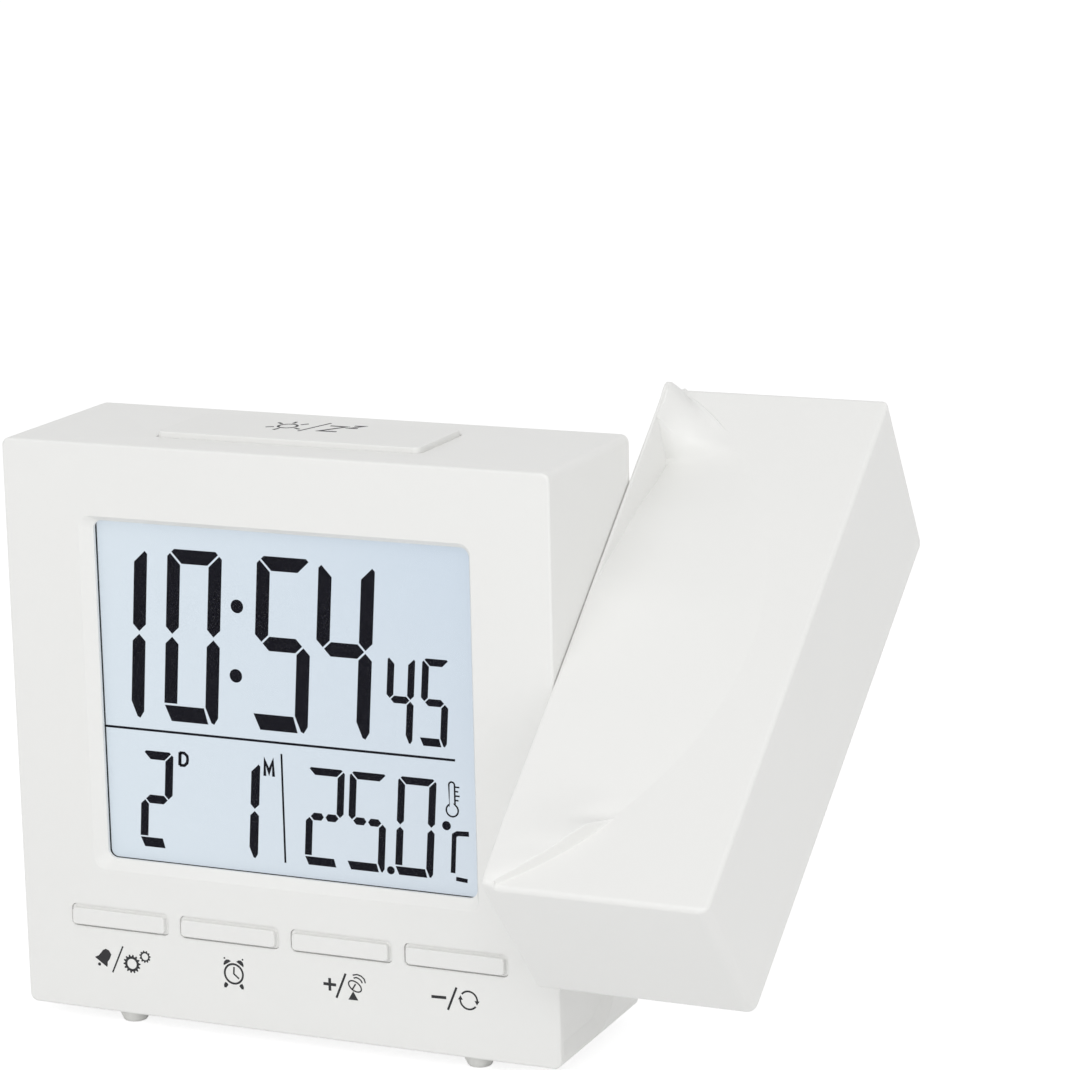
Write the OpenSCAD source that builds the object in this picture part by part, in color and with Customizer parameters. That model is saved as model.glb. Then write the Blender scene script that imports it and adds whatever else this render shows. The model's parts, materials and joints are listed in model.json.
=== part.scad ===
// Projection alarm clock: a flat case with a screen, and an arm that turns on its right side.
// Millimetres. X runs to the right, Y to the back and Z up. The origin lies on the desk, under the
// middle of the case. Depths are counted back from the front face, heights up from the case's underside.

/* [Case] */
// Width of the case
body_w = 86; // [86:0.5:106]
// Depth of the case, front face to back face
body_d = 29; // [29:0.5:36]
// Height of the case without its feet
body_h = 85.5; // [85.5:0.5:104]
// Wall of the front housing
wall = 2; // [1.8:0.1:2.4]
// Thickness of the front plate
front_t = 2.2; // [2:0.1:2.6]
// Radius of the case's corners, seen from the front
corner_r = 1.2; // [1:0.1:4]
// Thickness of the rear cover
cover_t = 2.2; // [1.8:0.1:2.6]
// Clearance around the rear cover, its door and the window
cover_gap = 0.15; // [0.1:0.05:0.3]
// Diameter of a rubber foot
foot_d = 5.2; // [5:0.1:7]
// Height of a rubber foot
foot_h = 2; // [0.8:0.1:2.5]
// Distance from the case's side to the centre of a foot
foot_inset = 15; // [6:0.5:25]

/* [Screen] */
// Width of the visible screen
lcd_w = 59.2; // [40:0.1:60]
// Height of the visible screen
lcd_h = 50.4; // [36:0.1:51]
// Screen's offset to the right of the case's middle
lcd_x = 1; // [0:0.5:2]
// Distance from the top of the case to the screen
lcd_top = 11.4; // [11:0.1:16]
// Thickness of the clear window
window_t = 1.2; // [0.8:0.1:1.3]
// Thickness of the display glass
panel_t = 2.7; // [1.8:0.1:3]
// Thickness of the light guide
guide_t = 2.4; // [1.5:0.1:2.6]

/* [Buttons] */
// Width of a button's cap
button_w = 15.8; // [10:0.1:16]
// Height of a button's cap
button_h = 3.1; // [3:0.1:4]
// Distance between two buttons
button_pitch = 18.05; // [17.7:0.05:19]
// Height of the row of buttons
button_z = 14.4; // [12:0.1:15]
// How far a cap stands out of the front plate
button_proud = 0.6; // [0.2:0.1:1.2]
// Travel of a button
button_travel = 0.5; // [0.3:0.1:0.5]
// Clearance around a cap
button_gap = 0.2; // [0.15:0.05:0.3]

/* [Snooze bar] */
// Width of the bar
bar_w = 42; // [30:0.5:50]
// Depth of the bar
bar_d = 15; // [10:0.5:16]
// How far the bar stands out of the top
bar_proud = 0.8; // [0.8:0.1:2]
// Travel of the bar
bar_travel = 0.7; // [0.4:0.1:0.8]

/* [Power] */
// Diameter of a battery cell
cell_d = 14.2; // [13.5:0.1:14.4]
// Length of a battery cell without its nub
cell_l = 49; // [48:0.1:50]
// Bore of the power socket
jack_bore = 5.6; // [5:0.1:6.4]
// Thickness of the battery door
door_t = 1.8; // [1.4:0.1:1.9]

/* [Arm] */
// Width of the arm
arm_w = 31.3; // [30:0.1:40]
// Gap between the arm and the case
arm_gap = 0.6; // [0.6:0.05:1]
// Wall of the arm's shells
arm_wall = 1.8; // [1.4:0.1:2.2]
// Lean of the arm to the back, from upright
arm_tilt = 54.3; // [0:0.1:90]
// Depth of the pivot
pivot_d = 16; // [15:0.5:18]
// Height of the pivot
pivot_h = 46.8; // [46:0.1:48]
// Pivot to the arm's front face
arm_front = 14; // [13.6:0.1:18]
// Pivot to the arm's back face, at the bottom end
arm_back_low = 13.1; // [12.8:0.1:16]
// Pivot to the arm's back face, at the top end
arm_back_high = 15.2; // [14.6:0.1:18]
// Pivot to the arm's bottom end
arm_low = 40.5; // [40:0.1:43]
// Pivot to the arm's top end
arm_high = 51.9; // [51.9:0.1:64]
// How much shorter the arm's back is than its front, at the bottom end
heel_rise = 2.7; // [0:0.1:4]
// How much shorter the arm's back is than its front, at the top end
crown_drop = 1.3; // [0:0.1:2]
// Radius of the raised leaf on the arm's front
leaf_r = 55.2; // [50:0.1:58]
// How far the leaf reaches to the right of the case's side
leaf_reach = 24.8; // [18:0.1:27]
// Height of the leaf's ridge over the arm's front face, level with the pivot
leaf_ridge = 4; // [2:0.1:5]
// Outer diameter of the hollow pivot
pivot_tube_d = 9; // [7:0.1:10]
// Running clearance of the pivot, on the radius
pivot_fit = 0.05; // [0.02:0.01:0.1]

/* [Projector] */
// Bore of the optics tube
optics_bore = 14.2; // [13:0.1:14.6]
// Wall of the optics tube
optics_wall = 0.9; // [0.7:0.1:1]
// Sliding clearance of the lens barrel, on the radius
barrel_fit = 0.08; // [0.04:0.01:0.1]
// Outer diameter of the focus ring
ring_d = 19.5; // [18.5:0.1:20]
// How far the focus ring stands out of the arm's top end
ring_proud = 0.8; // [0.3:0.1:1.5]

/* [Hidden] */
$fn = 64;

white = "#ebebe9";
circuit = "#2f6b46";
steel = "#b9bcc0";
black = "#1d1e20";
cut = 1;                                  // how far a cutting body runs past a face
touch = 0.02;                             // how far joined bodies of one piece reach into each other

// Faces of the case
left_x = -body_w / 2;
right_x = body_w / 2;
front_y = -body_d / 2;
base_z = foot_h;
top_z = foot_h + body_h;
inner_w = body_w - 2 * wall;
inner_h = body_h - 2 * wall;
mid_z = base_z + body_h / 2;

function deep(d) = front_y + d;           // Y at a depth
function up(h) = base_z + h;              // Z at a height

// Stack of layers behind the front plate
window_recess = front_t - window_t - 0.1;
window_lip = 0.9;
panel_lip = 1.1;
side_lip = 2;
bracket_wall = 1.5;
panel_w = lcd_w + 2 * side_lip;
panel_h = lcd_h + 2 * panel_lip;
panel_near = front_t + 0.1;
guide_near = panel_near + panel_t + 0.1;
board_near = front_t + 6;
board_t = 1.2;
board_far = board_near + board_t;
lcd_z = top_z - lcd_top - lcd_h / 2;
zebra_h = 2.8;
zebra_space = zebra_h + 1.4;
guide_h = panel_h - zebra_space;

// Screws of the case
screw_inset = 3.7;
boss_r = 2.8;
case_screw_r = 1.3;
case_head_r = 2.4;
case_head_t = 1.2;
case_hole_r = 1.5;
board_boss_r = 2;
board_inset = 5;
screw_x = body_w / 2 - wall - screw_inset;
screw_low = base_z + wall + screw_inset;
screw_high = top_z - wall - screw_inset;
board_low = screw_low + boss_r + 0.9;
board_high = screw_high - boss_r - 0.9;
board_half = body_w / 2 - wall - 1;
board_screw_x = body_w / 2 - board_inset;
board_screw_low = board_low + 12.4;
board_screw_high = board_high - 2.8;
cover_near = body_d - cover_t;
boss_far = cover_near - 0.1;

// Buttons and their switches
flange_margin = 0.7;
flange_rise = 1.2;
flange_t = 0.8;
switch_size = 6;
switch_t = 2.3;
nub_r = 1.6;
nub_t = 0.5;
switch_near = board_near - switch_t;
stem_far = switch_near - nub_t - button_travel - 0.1;
row_z = up(button_z);
button_x = [-1.5 * button_pitch + 0.05, -0.5 * button_pitch + 0.05,
    0.5 * button_pitch + 0.05, 1.5 * button_pitch + 0.05];

// Snooze bar
bar_x = -0.7;
bar_near = (body_d - bar_d) / 2 + 0.05;
bar_y = deep(bar_near + bar_d / 2);
bar_r = 1.2;
bar_gap = 0.2;
bar_flange_t = 1;
bar_flange_margin = 1;
bar_flange_top = top_z - wall - 0.3;
bar_flange_low = bar_flange_top - bar_flange_t;
snooze_board_t = 1.2;
snooze_drop = 7.7;
snooze_board_top = bar_flange_low - snooze_drop;
snooze_board_w = 56;
snooze_board_d = 9;
snooze_boss_r = 2.2;
snooze_boss_x = bar_w / 2 + bar_flange_margin + snooze_boss_r + 0.8;
spring_x = 14;
spring_r = 2.4;
spring_wire = 0.3;
plunger_r = 2;
snooze_switch_h = 3.1;
snooze_nub_h = 0.6;
plunger_low = snooze_board_top + snooze_switch_h + snooze_nub_h + bar_travel + 0.1;

// Battery bay, across the lower part of the rear cover
bay_wall = 1.2;
bay_near = board_far + 1.5;
bay_low = up(3.8);
cell_gap = 0.2;
cell_pitch = cell_d + 0.4;
spring_len = 6.3;
contact_t = 0.5;
nub_l = 1.2;
cell_nub_r = 2.6;
bay_inner_l = cell_l + nub_l + spring_len + 2 * contact_t + 0.2;
bay_inner_h = cell_pitch + cell_d + 2 * 0.9;
bay_left = left_x + 10;
bay_inner_left = bay_left + bay_wall;
bay_inner_right = bay_inner_left + bay_inner_l;
bay_right = bay_inner_right + bay_wall;
bay_high = bay_low + bay_inner_h + 2 * bay_wall;
cell_deep = bay_near + bay_wall + cell_gap + cell_d / 2;
cell_low = bay_low + bay_wall + 0.9 + cell_d / 2;
cell_high = cell_low + cell_pitch;
door_near = body_d - door_t;
door_low = bay_low + bay_wall;
door_high = bay_high - bay_wall;
hinge_r = door_t / 2;
hinge_pin_r = 0.55;
hinge_pin_l = 1;
hinge_z = door_low + cover_gap + hinge_r;
hinge_deep = door_near + hinge_r;
door_left = bay_inner_left + cover_gap;
door_right = bay_inner_right - cover_gap;

// Back of the case: socket, switches, aerial and beeper
jack_x = body_w / 2 - 8.5;
jack_z = up(14.5);
jack_size = 9;
jack_near = 15;
jack_collar_r = 4;
jack_depth = 10;
jack_pin_r = 1;
control_x = body_w / 2 - 9.5;
control_w = 12;
control_h = 16;
control_near = 20;
control_t = 1.2;
control_low = top_z - 26.7;
slider_z = control_low + 10;
reset_z = control_low + 4;
slot_w = 7.4;
slot_h = 3.4;
knob_w = 3.4;
knob_h = 2.8;
slide_travel = 3;
slide_proud = 0.8;
reset_r = 1.2;
reset_travel = 0.4;
reset_proud = 0.3;
post_r = 1.4;
rod_r = 4;
rod_l = 50;
rod_z = top_z - 20.7;
rod_deep = cover_near - 7.8;
rod_left = left_x + 5;
coil_r = 5.2;
coil_l = 14;
beeper_r = 10;
beeper_t = 2.2;
beeper_x = -18;
beeper_z = up(48.8);
sound_r = 0.8;
sound_ring = 4;
receiver_w = 20;
receiver_h = 12;
receiver_t = 1;
receiver_x = 9;
receiver_z = up(48.8);
receiver_near = cover_near - 2.8;

// Pivot in the case's right side
pivot_y = deep(pivot_d);
pivot_z = up(pivot_h);
pivot_r = pivot_tube_d / 2;
bush_r = pivot_r + pivot_fit + 1.95;
bush_boss_r = bush_r + 2.5;
bush_boss_l = 5;
bush_flange_r = bush_r + 1.5;
bush_flange_t = 1.5;
bush_end = wall + bush_boss_l + bush_flange_t;
washer_t = 0.5;
washer_r = 10;
spring_washer_t = 0.9;
circlip_t = 1;
circlip_r = pivot_r + 2;
groove_r = pivot_r - 0.7;
pivot_end = bush_end + spring_washer_t + circlip_t + 3.6;
pivot_bore_r = pivot_r - 1.75;
pivot_flange_r = 8;
pivot_flange_t = 1.5;
cable_r = 1.5;
socket_w = 6;
socket_h = 8;
socket_far = pivot_d + 3;

// Feet, a little to the right of the middle, narrower at the desk
foot_near = 3.5;
foot_shift = 0.9;
foot_slope = 0.9;

// Shallow hollow in the case's right side, behind the arm
hollow_t = 1.2;
hollow_r = 12.4;
hollow_front = 2.4;
hollow_deep = 10.2;
hollow_low = 12.5;
hollow_high = 40;
lining_t = 0.9;

// Arm, in its own upright frame: X from the case's right side, Y and Z from the pivot
arm_right = arm_gap + arm_w;
split_x = arm_gap + 2;
arm_r = 1.6;
leaf_z = 5.25;
ridge_slope = 2.8;
leaf_edge = 0.2;
plate_gap = 0.15;
arm_screw_y = 8.5;
arm_screw_z = [-33, -13];
arm_boss_r = 2.2;
arm_screw_r = 1;
arm_head_r = 2.1;
arm_head_t = 1;
arm_screw_l = 14;
cheek_t = 1;
scoop_right = 14;
crown_lean = 0.6;                         // lean of the leaf's top end, for each millimetre of height
scoop_liner = 1.2;
scoop_deep = 3.1;
ridge_room = 12;                          // room in front of the arm for the leaf's ridge

// Middle of the whole clock, arm included, seen from above
heel_z = arm_r - arm_low;
crown_z = arm_high - crown_drop - arm_r;
heel_y = leaned_y(-arm_front - ridge(heel_z), heel_z);
crown_y = leaned_y(arm_back_high - arm_r, crown_z) + arm_r;
middle_x = (left_x + right_x + arm_right) / 2;
middle_y = (heel_y + crown_y) / 2;

// Y in the case's frame of a point given in the arm's own frame
function leaned_y(y, z) = pivot_y + y * cos(arm_tilt) + z * sin(arm_tilt);

// Optics, along the arm
optics_x = arm_gap + arm_w / 2 + 0.2;
optics_r = optics_bore / 2 + optics_wall;
optics_high = 42;
saddle_half = 9.5;
saddle_t = 2;
saddle_z = [14, 34];
led_r = 2.5;
led_board_z = 1.8;
led_board_w = 15.6;
led_board_t = 1.2;
optics_low = led_board_z + led_board_t;   // the tube stands on the board
led_base_t = 0.8;
led_l = 4;
condenser_z = 13;
lens_bulge = 22;
image_z = 20;
image_size = 9.6;
image_t = 1.2;
barrel_r = optics_bore / 2 - barrel_fit;
barrel_wall = 0.7;
barrel_low = 26;
barrel_high = 47;
focus_low = optics_high + 0.3;
focus_high = arm_high - crown_drop / 2 + ring_proud;
focus_flange_r = 11;
focus_flange_t = 1.2;
focus_flange_z = arm_high - crown_drop - arm_wall - 0.2 - focus_flange_t;
ring_clear = 0.3;
lens_z = 43;
driver_x = 12;
driver_w = 12;
driver_low = -36;
driver_high = -8;
driver_t = 1.2;
cable_turn = 6.2;
cable_end = -10;

// ---------------------------------------------------------------- helpers

// A profile in X and Z, thick from one depth to another
module plate(near, far) {
    translate([0, deep(far), 0])
        rotate([90, 0, 0])
            linear_extrude(far - near) children();
}

// A rectangle with round corners, about the origin
module rounded(w, h, r) {
    square([w - 2 * r, h], center = true);
    square([w, h - 2 * r], center = true);
    for (x = [-1, 1], z = [-1, 1])
        translate([x * (w / 2 - r), z * (h / 2 - r)]) circle(r);
}

// A box between two corners
module block(low, high) {
    translate(low) cube(high - low);
}

// A rod along Y from one depth to another, at a place in X and Z
module rod_y(x, z, r, near, far) {
    translate([x, deep(near), z]) rotate([-90, 0, 0]) cylinder(r = r, h = far - near);
}

// A rod along X, at a place in Y and Z
module rod_x(y, z, r, from, to) {
    translate([from, y, z]) rotate([0, 90, 0]) cylinder(r = r, h = to - from);
}

// A screw along +Z with its head's underside at the origin
module screw(r, length, head_r, head_t) {
    translate([0, 0, -touch]) cylinder(r = r, h = length + touch);
    difference() {
        translate([0, 0, -head_t]) cylinder(r = head_r, h = head_t);
        for (turn = [0, 90])
            rotate(turn) translate([-head_r * 0.6, -0.25, -head_t - cut])
                cube([head_r * 1.2, 0.5, cut + head_t / 2]);
    }
}

// A coil spring along Z, made of a ring of points carried along a helix
module coil(r, wire, height, turns) {
    steps = 14 * turns;
    sides = 6;
    points = [for (i = [0 : steps], j = [0 : sides - 1])
        let (turn = 360 * turns * i / steps, around = 360 * j / sides)
        [(r + wire * cos(around)) * cos(turn), (r + wire * cos(around)) * sin(turn),
            wire + (height - 2 * wire) * i / steps + wire * sin(around)]];
    sides_of_tube = [for (i = [0 : steps - 1], j = [0 : sides - 1])
        let (next = (j + 1) % sides)
        [i * sides + j, (i + 1) * sides + j, (i + 1) * sides + next, i * sides + next]];
    first = [for (j = [0 : sides - 1]) j];
    last = [for (j = [sides - 1 : -1 : 0]) steps * sides + j];
    polyhedron(points, concat(sides_of_tube, [first], [last]));
}

// Puts what is drawn upright about the pivot in its place on the case
module on_arm() {
    translate([right_x, pivot_y, pivot_z]) rotate([-arm_tilt, 0, 0]) children();
}

// A profile in the arm's Y and Z, thick from one X to another
module arm_slab(from, to) {
    translate([from, 0, 0]) rotate([90, 0, 90]) linear_extrude(to - from) children();
}

// A rod across the arm's thickness, along its Y
module arm_rod_y(x, z, r, from, to) {
    translate([x, from, z]) rotate([-90, 0, 0]) cylinder(r = r, h = to - from);
}

// A rod along the arm
module arm_rod_z(r, from, to) {
    translate([optics_x, 0, from]) cylinder(r = r, h = to - from);
}

// ---------------------------------------------------------------- case

module front_housing() color(white) difference() {
    union() {
        difference() {
            plate(0, body_d) translate([0, mid_z]) rounded(body_w, body_h, corner_r);
            block([left_x + wall, deep(front_t), base_z + wall],
                [right_x - wall, deep(body_d + cut), top_z - wall]);
        }
        // Corner bosses for the long screws, each with a web to the side wall
        for (side = [-1, 1], z = [screw_low, screw_high]) {
            rod_y(side * screw_x, z, boss_r, front_t - touch, boss_far);
            block([min(side * screw_x, side * (body_w / 2 - wall + touch)), deep(front_t - touch), z - 0.8],
                [max(side * screw_x, side * (body_w / 2 - wall + touch)), deep(boss_far), z + 0.8]);
        }
        for (side = [-1, 1], z = [board_screw_low, board_screw_high])
            rod_y(side * board_screw_x, z, board_boss_r, front_t - touch, board_near);
        for (side = [-1, 1])
            translate([bar_x + side * snooze_boss_x, bar_y, snooze_board_top])
                cylinder(r = snooze_boss_r, h = top_z - wall - snooze_board_top + touch);
        rod_x(pivot_y, pivot_z, bush_boss_r, right_x - wall - bush_boss_l, right_x - wall + touch);
        // Lining that keeps the wall thick behind the hollow
        intersection() {
            side_hollow(right_x - hollow_t - lining_t, right_x - wall + touch, lining_t);
            block([right_x - wall - hollow_t, deep(front_t), base_z + wall],
                [right_x, deep(cover_near - 0.1), pivot_z]);
        }
    }
    // Screen opening with a rebate behind it for the window
    translate([lcd_x, 0, lcd_z]) {
        plate(-cut, front_t + cut) rounded(lcd_w, lcd_h, 0.6);
        plate(window_recess, front_t + cut)
            rounded(lcd_w + 2 * window_lip, lcd_h + 2 * window_lip + 0.2, 0.8);
    }
    for (x = button_x)
        translate([x, 0, row_z]) plate(-cut, front_t + cut)
            rounded(button_w + 2 * button_gap, button_h + 2 * button_gap, 0.9);
    translate([bar_x, bar_y, top_z - wall - cut]) linear_extrude(wall + 2 * cut)
        rounded(bar_w + 2 * bar_gap, bar_d + 2 * bar_gap, bar_r + bar_gap);
    for (side = [-1, 1], z = [screw_low, screw_high])
        rod_y(side * screw_x, z, case_screw_r, front_t + 8, boss_far + cut);
    for (side = [-1, 1], z = [board_screw_low, board_screw_high])
        rod_y(side * board_screw_x, z, 0.9, front_t, board_near + cut);
    for (side = [-1, 1])
        translate([bar_x + side * snooze_boss_x, bar_y, snooze_board_top - cut])
            cylinder(r = 0.9, h = 7 + cut);
    rod_x(pivot_y, pivot_z, bush_r, right_x - wall - bush_boss_l - cut, right_x + cut);
    side_hollow(right_x - hollow_t, right_x + cut, 0);
}

// The hollow's outline between two planes of X, grown by a margin
module side_hollow(from, to, grow) {
    translate([from, 0, 0]) rotate([90, 0, 90]) linear_extrude(to - from) intersection() {
        union() {
            translate([deep(hollow_deep), up(hollow_low)]) circle(hollow_r + grow);
            translate([deep(hollow_deep) - hollow_r - grow, up(hollow_low)])
                square([2 * (hollow_r + grow), hollow_high - hollow_low + grow]);
        }
        translate([deep(hollow_front) - grow, up(0) - cut])
            square([body_d, hollow_high + grow + cut]);
    }
}

module bay_box(inset, near, far) {
    block([bay_left + inset, deep(near), bay_low + inset],
        [bay_right - inset, deep(far), bay_high - inset]);
}

module rear_cover() color(white) difference() {
    union() {
        plate(cover_near, body_d) translate([0, mid_z])
            rounded(inner_w - 2 * cover_gap, inner_h - 2 * cover_gap, 0.5);
        bay_box(0, bay_near, cover_near + touch);
        // Posts for the control board and the receiver board
        for (z = [control_low + 1.5, control_low + control_h - 1.5])
            rod_y(control_x - control_w / 2 + 1.6, z, post_r, control_near + control_t, cover_near + touch);
        for (x = [receiver_x - 7, receiver_x + 7])
            rod_y(x, receiver_z, post_r, receiver_near + receiver_t, cover_near + touch);
        // Cradles of the aerial
        for (x = [rod_left + 4, rod_left + rod_l - 7])
            block([x, deep(rod_deep), rod_z - rod_r - 1],
                [x + 3, deep(cover_near + touch), rod_z + rod_r + 1]);
        // Collar around the beeper
        rod_y(beeper_x, beeper_z, beeper_r + 1.4, cover_near - beeper_t, cover_near + touch);
    }
    bay_box(bay_wall, bay_near + bay_wall, body_d + cut);
    // Notches that hold the door's pins
    for (x = [[door_left - hinge_pin_l - 0.3, door_left + cut],
        [door_right - cut, door_right + hinge_pin_l + 0.3]])
        rod_x(deep(hinge_deep), hinge_z, hinge_pin_r + 0.05, x[0], x[1]);
    for (side = [-1, 1], z = [screw_low, screw_high]) {
        rod_y(side * screw_x, z, case_hole_r, cover_near - cut, body_d + cut);
        rod_y(side * screw_x, z, case_head_r + 0.15, body_d - case_head_t, body_d + cut);
    }
    rod_y(jack_x, jack_z, jack_collar_r + 0.1, cover_near - cut, body_d + cut);
    translate([control_x, 0, slider_z]) plate(cover_near - cut, body_d + cut) rounded(slot_w, slot_h, 0.4);
    rod_y(control_x, reset_z, reset_r + 0.3, cover_near - cut, body_d + cut);
    for (turn = [0 : 60 : 300])
        rod_y(beeper_x + sound_ring * cos(turn), beeper_z + sound_ring * sin(turn), sound_r,
            cover_near - beeper_t - cut, body_d + cut);
    rod_y(beeper_x, beeper_z, sound_r, cover_near - cut, body_d + cut);
    rod_y(beeper_x, beeper_z, beeper_r, cover_near - beeper_t - cut, cover_near);
    rod_x(deep(rod_deep), rod_z, rod_r, rod_left, rod_left + rod_l);
}

module battery_door() color(white) {
    plate(door_near, body_d) translate([door_left, hinge_z])
        square([door_right - door_left, door_high - cover_gap - hinge_z]);
    rod_x(deep(hinge_deep), hinge_z, hinge_r, door_left, door_right);
    rod_x(deep(hinge_deep), hinge_z, hinge_pin_r, door_left - hinge_pin_l, door_right + hinge_pin_l);
    // Finger ridges near the upper edge
    for (step = [0 : 3])
        translate([(door_left + door_right) / 2, 0, door_high - 5 - 1.6 * step])
            plate(body_d - touch, body_d + 0.4) square([14, 0.7], center = true);
}

module feet() color("#d9d9d6")
    for (x = [left_x + foot_inset, right_x - foot_inset], d = [foot_near, body_d - 5])
        translate([x + foot_shift, deep(d), 0]) rotate_extrude()
            polygon([[0, 0], [foot_d / 2 - foot_slope, 0], [foot_d / 2, foot_h], [0, foot_h]]);

module housing_screws() color(steel)
    for (side = [-1, 1], z = [screw_low, screw_high])
        translate([side * screw_x, deep(body_d - case_head_t), z]) rotate([90, 0, 0])
            screw(case_screw_r - 0.02, 14, case_head_r, case_head_t - 0.2);

// ---------------------------------------------------------------- screen

module lcd_window() color([0.8, 0.85, 0.9, 0.5])
    translate([lcd_x, 0, lcd_z]) plate(window_recess, window_recess + window_t)
        rounded(lcd_w + 2 * window_lip - 0.1, lcd_h + 2 * window_lip + 0.1, 0.7);

module lcd_panel() color("#d2dfe8")
    translate([lcd_x, 0, lcd_z]) plate(panel_near, panel_near + panel_t)
        square([panel_w, panel_h], center = true);

module light_guide() color([0.95, 0.97, 1, 0.8])
    translate([lcd_x, 0, lcd_z + zebra_space / 2]) plate(guide_near, guide_near + guide_t)
        square([panel_w, guide_h], center = true);

module backlight_led() color("#f4f1d8")
    block([lcd_x + panel_w / 2 + 0.1, deep(guide_near + 0.1), lcd_z - 3],
        [lcd_x + panel_w / 2 + 1.3, deep(board_near), lcd_z + 3]);

module lcd_bracket() color("#e2e2de") difference() {
    translate([lcd_x, 0, lcd_z]) plate(front_t, board_near)
        square([panel_w + 2 * bracket_wall + 0.2, panel_h + 2 * bracket_wall + 0.2], center = true);
    translate([lcd_x, 0, lcd_z]) plate(front_t - cut, board_near + cut)
        square([panel_w + 0.2, panel_h + 0.2], center = true);
    block([lcd_x + panel_w / 2, deep(guide_near - 0.1), lcd_z - 3.2],
        [lcd_x + panel_w / 2 + 1.4, deep(board_near + cut), lcd_z + 3.2]);
}

module zebra_strip() color("#3b3b40")
    block([lcd_x - panel_w / 2 + 3, deep(panel_near + panel_t), lcd_z - panel_h / 2 + 0.6],
        [lcd_x + panel_w / 2 - 3, deep(board_near), lcd_z - panel_h / 2 + 0.6 + zebra_h]);

// ---------------------------------------------------------------- circuit

module main_board() color(circuit) difference() {
    plate(board_near, board_far) translate([0, (board_low + board_high) / 2])
        square([2 * board_half, board_high - board_low], center = true);
    // Room for the pivot's boss
    block([right_x - bush_end - 1, deep(board_near - cut), pivot_z - bush_boss_r - 3],
        [right_x, deep(board_far + cut), pivot_z + bush_boss_r + 3]);
    for (side = [-1, 1], z = [board_screw_low, board_screw_high])
        rod_y(side * board_screw_x, z, 1.1, board_near - cut, board_far + cut);
}

module board_screws() color(steel)
    for (side = [-1, 1], z = [board_screw_low, board_screw_high])
        translate([side * board_screw_x, deep(board_far), z]) rotate([90, 0, 0]) screw(0.88, 5.5, 1.8, 1);

module main_chip() color(black)
    block([-1, deep(board_far), up(55)], [11, deep(board_far + 1.2), up(67)]);

module quartz_crystal() color(steel)
    rod_x(deep(board_far + 1), up(61), 1, -12, -6);

module temperature_sensor() color("#25303a") {
    translate([left_x + 6.5, deep(board_far + 1.2), board_low + 3]) sphere(1.2);
    for (side = [-1, 1])
        block([left_x + 6.5 + side * 0.6 - 0.2, deep(board_far), board_low + 2.8],
            [left_x + 6.5 + side * 0.6 + 0.2, deep(board_far + 1.2), board_low + 3.2]);
}

module front_switches() color(black)
    for (x = button_x) {
        translate([x, 0, row_z]) plate(switch_near, board_near) square(switch_size, center = true);
        rod_y(x, row_z, nub_r, switch_near - nub_t, switch_near + touch);
    }

module button(index) color("#ededeb") {
    x = button_x[index];
    translate([x, 0, row_z]) {
        plate(-button_proud, front_t + 0.2) rounded(button_w, button_h, 0.7);
        plate(front_t + 0.2 - touch, front_t + 0.2 + flange_t)
            square([button_w + 2 * flange_margin, button_h + 2 * flange_rise], center = true);
    }
    rod_y(x, row_z, nub_r, front_t + flange_t, stem_far);
}

module settings_button() button(0);
module alarm_button() button(1);
module plus_button() button(2);
module minus_button() button(3);

// ---------------------------------------------------------------- snooze bar

module snooze_bar() color("#e3e3e0") {
    translate([bar_x, bar_y, bar_flange_top - touch])
        linear_extrude(top_z + bar_proud - bar_flange_top + touch)
        rounded(bar_w, bar_d, bar_r);
    translate([bar_x, bar_y, bar_flange_low]) linear_extrude(bar_flange_t)
        square([bar_w + 2 * bar_flange_margin, bar_d + 2 * bar_flange_margin], center = true);
    translate([bar_x, bar_y, plunger_low])
        cylinder(r = plunger_r, h = bar_flange_low - plunger_low + touch);
}

module snooze_springs() color(steel)
    for (side = [-1, 1])
        translate([bar_x + side * spring_x, bar_y, snooze_board_top])
            coil(spring_r, spring_wire, snooze_drop - bar_travel - 0.1, 4);

module snooze_board() color(circuit) difference() {
    translate([bar_x, bar_y, snooze_board_top - snooze_board_t]) linear_extrude(snooze_board_t)
        square([snooze_board_w + bar_w - 42, snooze_board_d], center = true);
    for (side = [-1, 1])
        translate([bar_x + side * snooze_boss_x, bar_y, snooze_board_top - snooze_board_t - cut])
            cylinder(r = 1.1, h = snooze_board_t + 2 * cut);
}

module snooze_switch() color(black) {
    block([bar_x - 3, bar_y - 3, snooze_board_top],
        [bar_x + 3, bar_y + 3, snooze_board_top + snooze_switch_h]);
    translate([bar_x, bar_y, snooze_board_top + snooze_switch_h - touch])
        cylinder(r = nub_r, h = snooze_nub_h + touch);
}

module snooze_screws() color(steel)
    for (side = [-1, 1])
        translate([bar_x + side * snooze_boss_x, bar_y, snooze_board_top - snooze_board_t])
            screw(0.88, 7, 1.8, 1);

// ---------------------------------------------------------------- aerial and beeper

module receiver_board() color(circuit)
    block([receiver_x - receiver_w / 2, deep(receiver_near), receiver_z - receiver_h / 2],
        [receiver_x + receiver_w / 2, deep(receiver_near + receiver_t), receiver_z + receiver_h / 2]);

module ferrite_rod() color("#3a3a3c") rod_x(deep(rod_deep), rod_z, rod_r, rod_left, rod_left + rod_l);

module antenna_coil() color("#b06a35") difference() {
    rod_x(deep(rod_deep), rod_z, coil_r, rod_left + rod_l / 2 - coil_l / 2,
        rod_left + rod_l / 2 + coil_l / 2);
    rod_x(deep(rod_deep), rod_z, rod_r, rod_left, rod_left + rod_l);
}

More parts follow.
